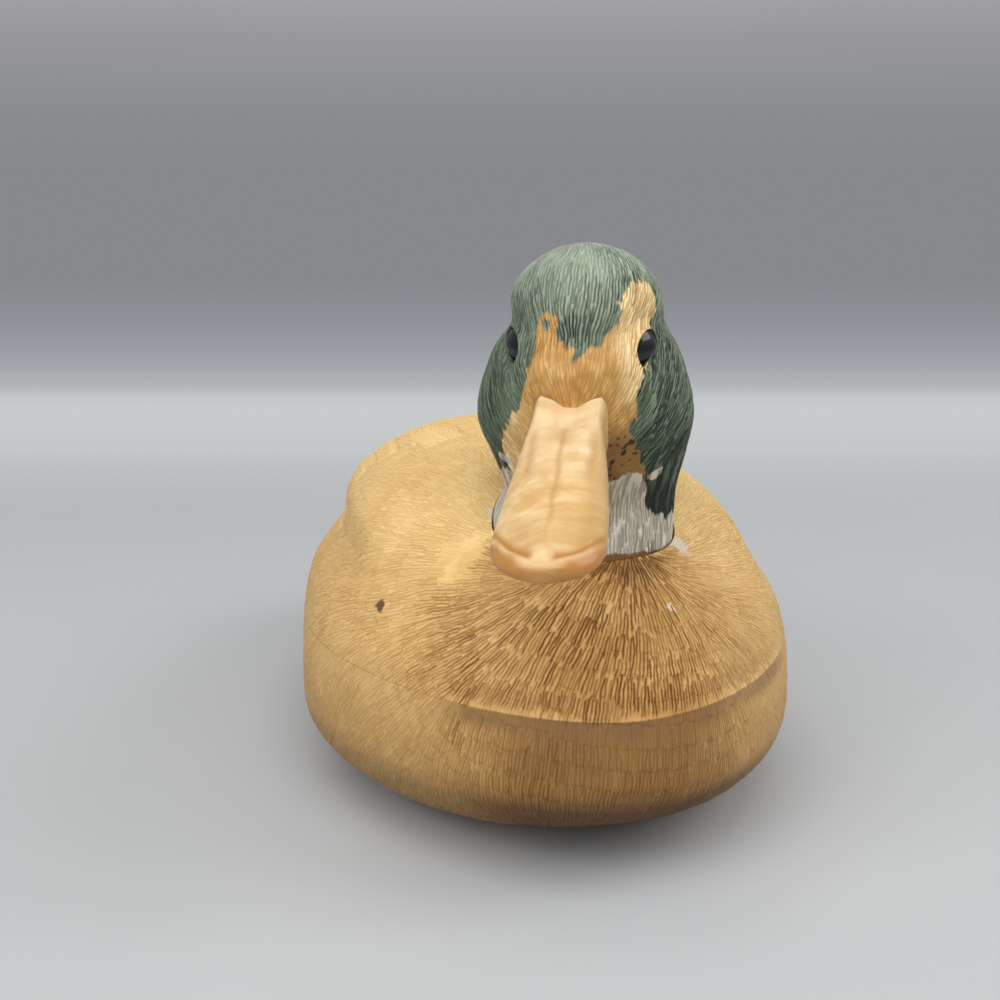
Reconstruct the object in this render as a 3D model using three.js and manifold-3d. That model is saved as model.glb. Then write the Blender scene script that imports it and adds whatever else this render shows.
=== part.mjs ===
// Duck decoy carved from wood: a body hollowed out of two blocks glued along a level seam, a
// head-and-neck block let into the breast and turned to the duck's right, a bill let into the
// head, and glass eyes bedded in putty. The head is held by a screw driven from inside the body,
// and two dowels line the body's halves up. Nothing on the decoy moves.
//
// Millimetres, +Z up. The duck faces -Y and its own right side is -X. The origin is on the flat
// underside, below the middle of the whole figure.

import * as THREE from 'three';
import { mergeVertices } from 'three/addons/utils/BufferGeometryUtils.js';
import Module from 'manifold-3d';

const wasm = await Module();
wasm.setup();
const { clamp, degToRad, radToDeg, smoothstep } = THREE.MathUtils;

// Body: plan. Distances along the body run back from the foremost point of the breast.
const bodyLength = 178;
const bodyWidth = 98.4;
const widestAt = 66;
const breastFullness = 1.68;
const haunchWidth = 93;
const haunchFromTail = 75;
const rumpWidth = 71;
const rumpFromTail = 45;
const tailRootWidth = 52;
const tailRootFromTail = 25;
const tailWidth = 39;
const tailFromTip = 10;
const tailRounding = 11;

// Body: heights of the back line, of the middle line and of the keel line.
const breastHeight = 22;
const bellyMiddleHeight = 20;
const backHeight = 65.5;
const shoulderAt = 57;
const shoulderHeight = 64;
const shoulderFullness = 2;
const rumpHeight = 54;
const tailTopHeight = 43.5;
const tailTipTopHeight = 41.5;
const tailTipUnderHeight = 36;
const ventHeight = 10;
const keelDepth = 4;
const forefootAt = 72;
const forefootFullness = 1.68;
const upperFullness = 2.3;
const lowerFullness = 2.25;

// Body: folded wings, which stand proud of the flanks above a soft crease.
const creaseDepth = 2.6;
const creaseWidth = 9;
const creaseAngle = 34;
const creaseStartsAt = 36;
const creaseFullAt = 70;
const creaseFadesFromTail = 58;
const creaseEndsFromTail = 26;
const creaseClimb = 24;
const wingRise = 1.8;

// Body: seam, wall and hollow.
const seamHeight = 32.5;
const wall = 9;
const floorThickness = 9;
const hollowStartsAt = 24;
const hollowEndFromTail = 44;
const hollowFullness = 3;

// Head and neck, measured from the neck's upright axis and from the seat that it stands on.
const neckBehindBreast = 34;
const neckSeatHeight = 46;
const neckShelf = 9;
const headTurn = 19.5;
const overallHeight = 108.5;
const headHeight = overallHeight - neckSeatHeight;
const crownDomeHeight = 14;
const neckHalfWidth = 16.2;
const neckFront = 15.5;
const neckBack = 18;
const neckFootHeight = 14;
const throatHeight = 18;
const jawHeight = 26;
const jawHalfWidth = 17.2;
const jawFront = 19;
const jawBack = 22;
const cheekHeight = 33;
const cheekHalfWidth = 17.8;
const cheekFront = 22.5;
const cheekBack = 27;
const browHeight = 42;
const browHalfWidth = 16.6;
const browFront = 24;
const browBack = 30;
const crownHalfWidth = 14.4;
const crownFront = 20;
const crownBack = 28;
const backOfHeadFullness = 2.2;
const faceFullness = 1.75;
const throatFullness = 2.1;
const cheekBulge = 1.6;
const cheekBulgeBack = 3;
const cheekBulgeSize = 10;
const channelDepth = 1.4;
const channelHeight = 49.5;
const channelSize = 3.6;
const channelEndsBack = 16;

// Eyes: glass domes in putty, each in a round socket in a hollow of the face.
const eyeHeight = 46;
const eyeForward = 10.5;
const eyeOutward = 60;
const eyeRise = 4;
const eyeDiameter = 6.6;
const eyeDome = 1.5;
const eyeDepth = 2.6;
const eyeDomeSteps = 6;
const eyeProud = 0.1;
const puttyWall = 1.2;
const puttyLip = 0.7;
const socketDepth = 5;
const eyeHollow = 1.2;
const eyeHollowSize = 6;

// Bill: a spoon with a high root, a dished top and a nail at its tip.
const billLength = 37.5;
const billDroop = 19.5;
const billRootForward = 26.5;
const billRootHeight = 31.7;
const billRootHalfWidth = 6.0;
const billWaistHalfWidth = 7.3;
const billWaistAt = 10;
const billSpoonHalfWidth = 8.5;
const billSpoonFromTip = 11;
const billRootTop = 6.6;
const billRootUnder = 5.5;
const billSpoonTop = 2.8;
const billSpoonUnder = 2.4;
const billTipRounding = 10;
const billBuried = 9;
const billFullness = 2.15;
const billEdgeDrop = 1.2;
const nailHalfWidth = 2.6;
const nailRise = 0.5;
const tenonWidth = 7;
const tenonHeight = 6;
const tenonLength = 9;

// Fixings inside the body.
const screwDiameter = 4.5;
const screwLength = 36;
const screwPoint = 6;
const screwHeadDiameter = 9;
const screwCrownDiameter = 5.4;
const screwHeadHeight = 2.6;
const screwRimHeight = 0.9;
const washerDiameter = 14;
const washerThickness = 1.4;
const counterboreDiameter = 19;
const dowelDiameter = 6;
const dowelLength = 14;
const dowelChamfer = 0.6;
const frontDowelAt = 11;
const rearDowelFromTail = 34;

// Clearance left between pieces that fit into one another.
const clearance = 0.3;

// How finely the curved skins are divided.
const bodyStations = 46;
const bodyRingPoints = 52;
const hollowStations = 14;
const hollowRingPoints = 28;
const headLevels = 34;
const headRingPoints = 40;
const billStations = 20;
const billRingPoints = 28;
const roundSides = 24;

// A smooth curve through points given as [distance, value] that never overshoots them.
function curveThrough(points) {
  const last = points.length - 1;
  const secants = [];
  for (let i = 0; i < last; i += 1) {
    secants.push((points[i + 1][1] - points[i][1]) / (points[i + 1][0] - points[i][0]));
  }
  const slopes = points.map((point, i) => {
    if (i === 0) return secants[0];
    if (i === last) return secants[last - 1];
    const product = secants[i - 1] * secants[i];
    return product <= 0 ? 0 : (2 * product) / (secants[i - 1] + secants[i]);
  });
  return (distance) => {
    const x = clamp(distance, points[0][0], points[last][0]);
    let i = 0;
    while (i < last - 1 && x > points[i + 1][0]) i += 1;
    const step = points[i + 1][0] - points[i][0];
    const t = (x - points[i][0]) / step;
    const start = points[i][1] * (1 + 2 * t) * (1 - t) ** 2 + slopes[i] * step * t * (1 - t) ** 2;
    const end = points[i + 1][1] * t * t * (3 - 2 * t) - slopes[i + 1] * step * t * t * (1 - t);
    return start + end;
  };
}

// Grows from 0 to 1 as a share of the way goes from 0 to 1, blunt at the start.
function roundedStart(share, fullness) {
  return (1 - (1 - clamp(share, 0, 1)) ** fullness) ** (1 / fullness);
}

function bump(distance, size) {
  return Math.exp(-((distance / size) ** 2));
}

// A coordinate of a rounded rectangle-like ring: fullness 2 gives an ellipse.
function ringCoordinate(unit, fullness) {
  return Math.sign(unit) * Math.abs(unit) ** (2 / fullness);
}

// Distances from 0 to the length, closer together near both ends.
function easedStations(length, count) {
  const stations = [];
  for (let i = 1; i < count; i += 1) {
    stations.push((length * (1 - Math.cos((Math.PI * i) / count))) / 2);
  }
  return stations;
}

function ringAngles(count) {
  return Array.from({ length: count }, (_, i) => (2 * Math.PI * i) / count);
}

// Skins a row of rings and closes it to a point at each end, with its faces turned outwards.
function skin(rings, startPoint, endPoint) {
  const count = rings[0].length;
  const points = [startPoint, ...rings.flat(), endPoint];
  const vertex = (ring, i) => 1 + ring * count + (i % count);
  const faces = [];
  for (let i = 0; i < count; i += 1) {
    faces.push([0, vertex(0, i), vertex(0, i + 1)]);
    for (let ring = 0; ring < rings.length - 1; ring += 1) {
      faces.push([vertex(ring, i), vertex(ring + 1, i), vertex(ring + 1, i + 1)]);
      faces.push([vertex(ring, i), vertex(ring + 1, i + 1), vertex(ring, i + 1)]);
    }
    faces.push([points.length - 1, vertex(rings.length - 1, i + 1), vertex(rings.length - 1, i)]);
  }
  const volume = faces.reduce((sum, [a, b, c]) => {
    return sum + points[a].dot(points[b].clone().cross(points[c]));
  }, 0);
  const outward = volume > 0 ? faces : faces.map(([a, b, c]) => [a, c, b]);
  const geometry = new THREE.BufferGeometry().setFromPoints(points);
  geometry.setIndex(outward.flat());
  return geometry;
}

function solidFrom(geometry) {
  const bare = geometry.clone();
  bare.deleteAttribute('normal');
  bare.deleteAttribute('uv');
  const merged = mergeVertices(bare, 1e-4);
  return new wasm.Manifold(new wasm.Mesh({
    numProp: 3,
    vertProperties: Float32Array.from(merged.attributes.position.array),
    triVerts: Uint32Array.from(merged.index.array),
  }));
}

function geometryFrom(solid) {
  const mesh = solid.getMesh();
  const geometry = new THREE.BufferGeometry();
  geometry.setAttribute('position', new THREE.BufferAttribute(mesh.vertProperties, 3));
  geometry.setIndex(new THREE.BufferAttribute(mesh.triVerts, 1));
  return geometry;
}

function boxBetween(low, high) {
  const size = new THREE.Vector3().subVectors(high, low);
  const middle = new THREE.Vector3().addVectors(low, high).multiplyScalar(0.5);
  return new THREE.BoxGeometry(size.x, size.y, size.z).translate(middle.x, middle.y, middle.z);
}

// An upright round bar from one height to another.
function uprightBar(diameter, low, high, x, y) {
  const bar = new THREE.CylinderGeometry(diameter / 2, diameter / 2, high - low, roundSides);
  return bar.rotateX(Math.PI / 2).translate(x, y, (low + high) / 2);
}

// A solid of revolution about +Z from [radius, height] points that start and end on the axis.
function turnedSolid(profile) {
  const outline = profile.map(([radius, height]) => new THREE.Vector2(radius, height));
  return new THREE.LatheGeometry(outline, roundSides).rotateX(Math.PI / 2);
}

// Body

const halfWidthBehind = curveThrough([
  [widestAt, bodyWidth / 2],
  [bodyLength - haunchFromTail, haunchWidth / 2],
  [bodyLength - rumpFromTail, rumpWidth / 2],
  [bodyLength - tailRootFromTail, tailRootWidth / 2],
  [bodyLength - tailFromTip, tailWidth / 2],
  [bodyLength, tailWidth / 2],
]);

function bodyHalfWidth(along) {
  const front = (bodyWidth / 2) * roundedStart(along / widestAt, breastFullness);
  const tailEnd = Math.sqrt(clamp((bodyLength - along) / tailRounding, 0, 1));
  return along < widestAt ? front : halfWidthBehind(along) * tailEnd;
}

const middleLine = curveThrough([
  [0, breastHeight],
  [shoulderAt, bellyMiddleHeight],
  [bodyLength - haunchFromTail, bellyMiddleHeight],
  [bodyLength - tailRootFromTail, (bellyMiddleHeight + tailTipUnderHeight) / 2],
  [bodyLength, (tailTipTopHeight + tailTipUnderHeight) / 2],
]);

const backLine = curveThrough([
  [0, shoulderHeight],
  [shoulderAt, shoulderHeight],
  [(shoulderAt + bodyLength - haunchFromTail) / 2, backHeight],
  [bodyLength - haunchFromTail, backHeight],
  [bodyLength - rumpFromTail, rumpHeight],
  [bodyLength - tailFromTip, tailTopHeight],
  [bodyLength, tailTipTopHeight],
]);

const keelLine = curveThrough([
  [0, -keelDepth],
  [forefootAt, -keelDepth],
  [bodyLength - rumpFromTail - tailFromTip, -keelDepth / 2],
  [bodyLength - tailRootFromTail, ventHeight],
  [bodyLength, tailTipUnderHeight],
]);

function bodyTop(along) {
  const rise = roundedStart(along / shoulderAt, shoulderFullness);
  return middleLine(along) + (backLine(along) - middleLine(along)) * rise;
}

function bodyBottom(along) {
  const drop = roundedStart(along / forefootAt, forefootFullness);
  return middleLine(along) - (middleLine(along) - keelLine(along)) * drop;
}

// The angle up the section, from the side, at which the wing's lower edge runs. It climbs
// towards the rump.
const wingEdgeAngle = curveThrough([
  [creaseStartsAt, creaseAngle],
  [bodyLength - haunchFromTail, creaseAngle],
  [bodyLength - creaseEndsFromTail, creaseAngle + creaseClimb],
]);

// How far the skin stands proud of the plain section, above zero on the folded wings.
function wingRelief(along, angle) {
  const fromEdge = angle - wingEdgeAngle(along);
  const wing = wingRise * smoothstep(fromEdge, 0, creaseWidth);
  const crease = creaseDepth * bump(fromEdge, creaseWidth);
  const comes = smoothstep(along, creaseStartsAt, creaseFullAt);
  const goes = smoothstep(bodyLength - along, creaseEndsFromTail, creaseFadesFromTail);
  return comes * goes * (wing - crease);
}

// One upright section across the body, by the distance behind the breast.
function bodyRing(along) {
  const halfWidth = bodyHalfWidth(along);
  const middle = middleLine(along);
  const up = bodyTop(along) - middle;
  const down = middle - bodyBottom(along);
  return ringAngles(bodyRingPoints).map((turn) => {
    const fullness = Math.sin(turn) > 0 ? upperFullness : lowerFullness;
    const across = halfWidth * ringCoordinate(Math.cos(turn), fullness);
    const height = Math.sin(turn) > 0 ? up : down;
    const rise = height * ringCoordinate(Math.sin(turn), fullness);
    const radius = Math.hypot(across, rise);
    const angle = radToDeg(Math.atan2(rise, Math.abs(across)));
    const scale = 1 + wingRelief(along, angle) / Math.max(radius, wall);
    return new THREE.Vector3(across * scale, along, middle + rise * scale);
  });
}

function bodyBlock() {
  const rings = easedStations(bodyLength, bodyStations).map(bodyRing);
  const breast = new THREE.Vector3(0, 0, breastHeight);
  const tailTip = new THREE.Vector3(0, bodyLength, middleLine(bodyLength));
  return solidFrom(skin(rings, breast, tailTip));
}

// The hollow keeps the wall's thickness inside the body's sections, and has blunt ends.
function hollow() {
  const hollowLength = bodyLength - hollowEndFromTail - hollowStartsAt;
  const rings = easedStations(hollowLength, hollowStations).map((distance) => {
    const along = hollowStartsAt + distance;
    const toNearerEnd = Math.min(distance, hollowLength - distance);
    const open = roundedStart(2 * toNearerEnd / hollowLength, hollowFullness);
    const middle = middleLine(along);
    const halfWidth = (bodyHalfWidth(along) - wall) * open;
    const up = (bodyTop(along) - middle - wall) * open;
    const down = (middle - bodyBottom(along)) * open;
    return ringAngles(hollowRingPoints).map((turn) => {
      const fullness = Math.sin(turn) > 0 ? upperFullness : lowerFullness;
      const height = Math.sin(turn) > 0 ? up : down;
      const across = halfWidth * ringCoordinate(Math.cos(turn), fullness);
      const rise = height * ringCoordinate(Math.sin(turn), fullness);
      return new THREE.Vector3(across, along, middle + rise);
    });
  });
  const start = new THREE.Vector3(0, hollowStartsAt, middleLine(hollowStartsAt));
  const endAt = bodyLength - hollowEndFromTail;
  return solidFrom(skin(rings, start, new THREE.Vector3(0, endAt, middleLine(endAt))));
}

// Everything between two heights, wider and longer than the body.
function slab(low, high) {
  const margin = bodyWidth;
  return solidFrom(boxBetween(
    new THREE.Vector3(-bodyWidth, -margin, low),
    new THREE.Vector3(bodyWidth, bodyLength + margin, high),
  ));
}

const bossUnderHeight = neckSeatHeight - neckShelf;
const bossRadius = neckBack + neckShelf;
const neckTurn = degToRad(-headTurn);

function placeOnNeck(geometry) {
  return geometry.rotateZ(neckTurn).translate(0, neckBehindBreast, neckSeatHeight);
}

// The pocket that the straight foot of the neck stands in, open upwards.
function neckPocket() {
  const outline = headRing(0, clearance);
  const top = backHeight;
  const raise = (height) => outline.map((point) => point.clone().setZ(height));
  const centre = new THREE.Vector3(0, 0, 0);
  return solidFrom(placeOnNeck(skin([raise(0), raise(top)], centre, centre.clone().setZ(top))));
}

function bodyHalves() {
  const block = bodyBlock();
  const boss = solidFrom(uprightBar(2 * bossRadius, bossUnderHeight, backHeight, 0, neckBehindBreast));
  const counterbore = solidFrom(
    uprightBar(counterboreDiameter, bellyMiddleHeight, bossUnderHeight, 0, neckBehindBreast));
  const room = hollow().subtract(boss).add(counterbore).intersect(slab(floorThickness, backHeight));
  const screwHole = solidFrom(
    uprightBar(screwDiameter + 2 * clearance, seamHeight, backHeight, 0, neckBehindBreast));
  const dowelReach = dowelLength / 2 + clearance;
  let sockets = room;
  [frontDowelAt, bodyLength - rearDowelFromTail].forEach((along) => {
    sockets = sockets.add(solidFrom(uprightBar(
      dowelDiameter + 2 * clearance, seamHeight - dowelReach, seamHeight + dowelReach, 0, along)));
  });
  const upper = block.intersect(slab(seamHeight, backHeight * 2))
    .subtract(sockets)
    .subtract(screwHole)
    .subtract(neckPocket());
  const lower = block.intersect(slab(0, seamHeight)).subtract(sockets);
  return { upper: geometryFrom(upper), lower: geometryFrom(lower) };
}

// Head and neck

const crownStartsAt = headHeight - crownDomeHeight;

function headCurve(neck, jaw, cheek, brow, crown) {
  return curveThrough([
    [0, neck],
    [throatHeight, neck],
    [jawHeight, jaw],
    [cheekHeight, cheek],
    [browHeight, brow],
    [crownStartsAt, crown],
  ]);
}

const headHalfWidth = headCurve(
  neckHalfWidth, jawHalfWidth, cheekHalfWidth, browHalfWidth, crownHalfWidth);
const headFront = headCurve(neckFront, jawFront, cheekFront, browFront, crownFront);
const headBack = headCurve(neckBack, jawBack, cheekBack, browBack, crownBack);
const frontFullness = curveThrough([
  [0, throatFullness],
  [throatHeight, throatFullness],
  [cheekHeight, faceFullness],
  [headHeight, faceFullness],
]);

function crownDome(height) {
  const share = clamp((height - crownStartsAt) / crownDomeHeight, 0, 1);
  return Math.sqrt(1 - share * share);
}

// Cheeks swell out, the face is hollowed round each eye, and a shallow channel runs back from
// the eye between the crown and the cheek. The straight foot of the neck stays plain.
function faceRelief(y, height) {
  if (height < neckFootHeight) return 0;
  const cheek = cheekBulge
    * bump(y - cheekBulgeBack, cheekBulgeSize)
    * bump(height - cheekHeight, cheekBulgeSize);
  const eye = eyeHollow
    * bump(y + eyeForward, eyeHollowSize)
    * bump(height - eyeHeight, eyeHollowSize);
  const channel = channelDepth
    * bump(height - channelHeight, channelSize)
    * smoothstep(channelEndsBack - y, 0, channelEndsBack);
  return cheek - eye - channel;
}

// One level section of the head and neck, grown outwards by the margin.
function headRing(height, margin) {
  const dome = crownDome(height);
  return ringAngles(headRingPoints).map((turn) => {
    const facing = Math.sin(turn) < 0;
    const fullness = facing ? frontFullness(height) : backOfHeadFullness;
    const reach = ((facing ? headFront(height) : headBack(height)) + margin) * dome;
    const y = reach * ringCoordinate(Math.sin(turn), fullness);
    const side = ringCoordinate(Math.cos(turn), fullness);
    const x = (headHalfWidth(height) + margin) * dome * side;
    return new THREE.Vector3(x + faceRelief(y, height) * dome * side, y, height);
  });
}

// The half width of the face at a place forward of the neck's axis.
function faceHalfWidth(forward, height) {
  const fullness = frontFullness(height);
  const share = clamp(forward / headFront(height), 0, 1);
  const side = (1 - share ** fullness) ** (1 / fullness);
  return headHalfWidth(height) * side + faceRelief(-forward, height) * side;
}

function headBlock(margin) {
  const heights = [0];
  for (let i = 1; i < headLevels; i += 1) {
    heights.push(headHeight * Math.sin((Math.PI / 2) * (i / headLevels)));
  }
  const rings = heights.map((height) => headRing(height, margin));
  const foot = new THREE.Vector3(0, 0, 0);
  return solidFrom(skin(rings, foot, new THREE.Vector3(0, 0, headHeight + margin)));
}

// Eyes

const eyeX = faceHalfWidth(eyeForward, eyeHeight);
const puttyDiameter = eyeDiameter + 2 * (puttyWall + clearance);

// Stands a piece that was turned about +Z on the face, looking outwards. Side is 1 or -1.
function placeOnFace(geometry, side) {
  const outward = new THREE.Vector3(
    side * Math.sin(degToRad(eyeOutward)), -Math.cos(degToRad(eyeOutward)), 0);
  outward.z = Math.tan(degToRad(eyeRise));
  const facing = new THREE.Quaternion().setFromUnitVectors(
    new THREE.Vector3(0, 0, 1), outward.normalize());
  return geometry.applyQuaternion(facing).translate(side * eyeX, -eyeForward, eyeHeight);
}

function eyeGeometry(side) {
  const radius = eyeDiameter / 2;
  const profile = [[0, -eyeDepth], [radius, -eyeDepth]];
  for (let i = 0; i < eyeDomeSteps; i += 1) {
    const turn = (Math.PI / 2) * (i / eyeDomeSteps);
    profile.push([radius * Math.cos(turn), eyeProud + eyeDome * (Math.sin(turn) - 1)]);
  }
  profile.push([0, eyeProud]);
  return placeOnFace(turnedSolid(profile), side);
}

// A cup of putty behind the eye, with a rounded lip in front of the wall.
function puttyGeometry(side) {
  const outer = puttyDiameter / 2;
  const inner = eyeDiameter / 2 + clearance;
  const lipMiddle = (inner + outer) / 2;
  const rim = -puttyLip - clearance;
  return placeOnFace(turnedSolid([
    [0, -socketDepth],
    [outer, -socketDepth],
    [outer, rim],
    [lipMiddle, rim + puttyLip / 2],
    [inner, rim],
    [inner, -eyeDepth - clearance],
    [0, -eyeDepth - clearance],
  ]), side);
}

function socket(side) {
  const radius = puttyDiameter / 2 + clearance;
  const depth = socketDepth + clearance;
  return solidFrom(placeOnFace(turnedSolid([
    [0, -depth],
    [radius, -depth],
    [radius, depth],
    [0, depth],
  ]), side));
}

// Bill

const billEnd = billBuried + billLength;
const billHalfWidth = curveThrough([
  [0, billRootHalfWidth],
  [billBuried, billRootHalfWidth],
  [billBuried + billWaistAt, billWaistHalfWidth],
  [billEnd - billSpoonFromTip, billSpoonHalfWidth],
  [billEnd, billSpoonHalfWidth],
]);
const billTop = curveThrough([
  [0, billRootTop],
  [billBuried, billRootTop],
  [billBuried + billWaistAt, (billRootTop + billSpoonTop) / 2],
  [billEnd - billSpoonFromTip, billSpoonTop],
  [billEnd, billSpoonTop],
]);
const billUnder = curveThrough([
  [0, billRootUnder],
  [billBuried, billRootUnder],
  [billEnd - billSpoonFromTip, billSpoonUnder],
  [billEnd, billSpoonUnder],
]);

// One section across the bill, by the distance from its buried end.
function billRing(along) {
  const rounding = roundedStart((billEnd - along) / billTipRounding, billFullness);
  const thinning = Math.sqrt(rounding);
  const spoon = smoothstep(along, billBuried + billWaistAt, billEnd - billSpoonFromTip);
  const nail = smoothstep(along, billEnd - billSpoonFromTip, billEnd - billTipRounding / 2);
  return ringAngles(billRingPoints).map((turn) => {
    const side = ringCoordinate(Math.cos(turn), billFullness);
    const x = billHalfWidth(along) * rounding * side;
    const height = Math.sin(turn) > 0 ? billTop(along) : billUnder(along);
    const hump = Math.sin(turn) > 0 ? nailRise * nail * bump(x, nailHalfWidth) : 0;
    const rise = height * thinning * ringCoordinate(Math.sin(turn), billFullness);
    return new THREE.Vector3(x, -along, rise + hump - billEdgeDrop * spoon * side * side);
  });
}

// Points the bill forward and down from its root on the face.
function placeOnFaceFront(geometry) {
  return geometry
    .translate(0, billBuried, 0)
    .rotateX(degToRad(billDroop))
    .translate(0, -billRootForward, billRootHeight);
}

function tenonBox(margin) {
  return solidFrom(placeOnFaceFront(boxBetween(
    new THREE.Vector3(-tenonWidth / 2 - margin, -billBuried, -tenonHeight / 2 - margin),
    new THREE.Vector3(tenonWidth / 2 + margin, tenonLength - billBuried + margin, tenonHeight / 2 + margin),
  )));
}

function billGeometry() {
  const rings = [0, ...easedStations(billEnd, billStations)].map(billRing);
  const root = new THREE.Vector3(0, 0, 0);
  const tip = new THREE.Vector3(0, -billEnd, -billEdgeDrop / 2);
  const spoon = solidFrom(placeOnFaceFront(skin(rings, root, tip)));
  return geometryFrom(spoon.subtract(headBlock(clearance)).add(tenonBox(0)));
}

function headGeometry() {
  const pilotEnd = screwLength - neckShelf - washerThickness + clearance;
  const pilot = solidFrom(uprightBar(screwDiameter + 2 * clearance, -neckShelf, pilotEnd, 0, 0));
  return geometryFrom(headBlock(0)
    .subtract(pilot)
    .subtract(socket(1))
    .subtract(socket(-1))
    .subtract(tenonBox(clearance)));
}

// Fixings

function screwGeometry() {
  const shank = screwDiameter / 2;
  const head = screwHeadDiameter / 2;
  return turnedSolid([
    [0, -screwHeadHeight],
    [screwCrownDiameter / 2, -screwHeadHeight],
    [head, -screwRimHeight],
    [head, 0],
    [shank, 0],
    [shank, screwLength - screwPoint],
    [0, screwLength],
  ]);
}

function washerGeometry() {
  const outer = washerDiameter / 2;
  const inner = screwDiameter / 2 + clearance;
  return turnedSolid([
    [inner, 0],
    [outer, 0],
    [outer, washerThickness],
    [inner, washerThickness],
    [inner, 0],
  ]);
}

function dowelGeometry() {
  const radius = dowelDiameter / 2;
  return turnedSolid([
    [0, -dowelLength / 2],
    [radius - dowelChamfer, -dowelLength / 2],
    [radius, dowelChamfer - dowelLength / 2],
    [radius, dowelLength / 2 - dowelChamfer],
    [radius - dowelChamfer, dowelLength / 2],
    [0, dowelLength / 2],
  ]);
}

// Materials

function material(color, roughness, metalness) {
  return new THREE.MeshStandardMaterial({ color, roughness, metalness });
}

const carvedWood = material('#c79a5c', 0.62, 0);
const paintedHead = material('#4f6256', 0.55, 0);
const satinBill = material('#dcb183', 0.4, 0);
const eyeGlass = material('#120c08', 0.08, 0);
const eyePutty = material('#3a342c', 0.7, 0);
const screwSteel = material('#8d8f92', 0.35, 1);
const dowelBeech = material('#c9a878', 0.7, 0);

// Assembly

function piece(name, geometry, surface) {
  const mesh = new THREE.Mesh(geometry, surface);
  mesh.name = name;
  return mesh;
}

const duck = new THREE.Group();
const halves = bodyHalves();
duck.add(piece('body_upper', halves.upper, carvedWood));
duck.add(piece('body_lower', halves.lower, carvedWood));

const headGroup = new THREE.Group();
headGroup.position.set(0, neckBehindBreast, neckSeatHeight);
headGroup.rotation.z = neckTurn;
headGroup.add(piece('head_and_neck', headGeometry(), paintedHead));
headGroup.add(piece('bill', billGeometry(), satinBill));
[['left', 1], ['right', -1]].forEach(([sideName, side]) => {
  headGroup.add(piece(`eye_${sideName}`, eyeGeometry(side), eyeGlass));
  headGroup.add(piece(`eye_putty_${sideName}`, puttyGeometry(side), eyePutty));
});
duck.add(headGroup);

const washer = piece('neck_washer', washerGeometry(), screwSteel);
washer.position.set(0, neckBehindBreast, bossUnderHeight - washerThickness);
duck.add(washer);
const screw = piece('neck_screw', screwGeometry(), screwSteel);
screw.position.set(0, neckBehindBreast, bossUnderHeight - washerThickness);
duck.add(screw);
[['front', frontDowelAt], ['rear', bodyLength - rearDowelFromTail]].forEach(([place, along]) => {
  const dowel = piece(`dowel_${place}`, dowelGeometry(), dowelBeech);
  dowel.position.set(0, along, seamHeight);
  duck.add(dowel);
});

// The origin goes below the middle of the figure's bounding box, on the flat underside.
const middle = new THREE.Box3().setFromObject(duck, true).getCenter(new THREE.Vector3());
duck.position.set(-middle.x, -middle.y, 0);

export default duck;
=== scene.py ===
# A carved, wood-burned and half-painted duck decoy on a plain studio floor. Each carved piece is a
# fine skin laid over the frame's shape, and its feathers and burned strokes are cut into it one by
# one. Sizes are millimetres until a mesh is made, and angles are degrees where they have a name.

import math

import bpy
import numpy as np
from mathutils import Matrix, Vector
from mathutils.bvhtree import BVHTree


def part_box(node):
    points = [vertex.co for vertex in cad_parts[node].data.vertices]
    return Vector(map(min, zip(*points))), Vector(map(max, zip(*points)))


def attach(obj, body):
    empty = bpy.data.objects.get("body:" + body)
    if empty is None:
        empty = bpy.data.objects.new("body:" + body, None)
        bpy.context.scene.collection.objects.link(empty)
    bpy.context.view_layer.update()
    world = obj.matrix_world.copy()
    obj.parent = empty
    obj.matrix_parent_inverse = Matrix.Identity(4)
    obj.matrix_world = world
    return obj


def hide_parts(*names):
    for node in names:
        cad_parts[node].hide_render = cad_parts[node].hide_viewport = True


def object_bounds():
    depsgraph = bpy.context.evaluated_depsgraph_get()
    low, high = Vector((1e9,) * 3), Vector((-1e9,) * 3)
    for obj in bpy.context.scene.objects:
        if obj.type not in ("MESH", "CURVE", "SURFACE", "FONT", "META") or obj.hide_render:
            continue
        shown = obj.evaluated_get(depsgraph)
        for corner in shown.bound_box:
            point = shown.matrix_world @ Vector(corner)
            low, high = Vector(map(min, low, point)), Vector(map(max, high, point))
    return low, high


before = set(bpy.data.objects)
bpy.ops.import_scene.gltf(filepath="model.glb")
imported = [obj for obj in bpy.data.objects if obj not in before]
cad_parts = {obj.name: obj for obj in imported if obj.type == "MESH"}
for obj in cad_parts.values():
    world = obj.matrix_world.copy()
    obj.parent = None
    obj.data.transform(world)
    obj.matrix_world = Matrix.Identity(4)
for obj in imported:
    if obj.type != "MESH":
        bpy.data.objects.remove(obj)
cad_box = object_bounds()

MM = 0.001
FAR = 1e9

# Body of the frame: plan, heights, wings and seam, measured back from the breast.
BODY_LENGTH = 178.0
BODY_WIDTH = 98.4
WIDEST_AT = 66.0
BREAST_FULLNESS = 1.68
HAUNCH_AT = BODY_LENGTH - 75.0
RUMP_AT = BODY_LENGTH - 45.0
TAIL_ROOT_AT = BODY_LENGTH - 25.0
TAIL_AT = BODY_LENGTH - 10.0
TAIL_WIDTH = 39.0
TAIL_ROUNDING = 11.0
SHOULDER_AT = 57.0
SHOULDER_FULLNESS = 2.0
FOREFOOT_AT = 72.0
FOREFOOT_FULLNESS = 1.68
KEEL_DEPTH = 4.0
UPPER_FULLNESS = 2.3
LOWER_FULLNESS = 2.25
WALL = 9.0
CREASE_DEPTH = 2.6
CREASE_WIDTH = 9.0
CREASE_ANGLE = 34.0
CREASE_CLIMB = 24.0
CREASE_STARTS_AT = 36.0
CREASE_FULL_AT = 70.0
CREASE_FADES_FROM_TAIL = 58.0
CREASE_ENDS_FROM_TAIL = 26.0
WING_RISE = 1.8

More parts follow.
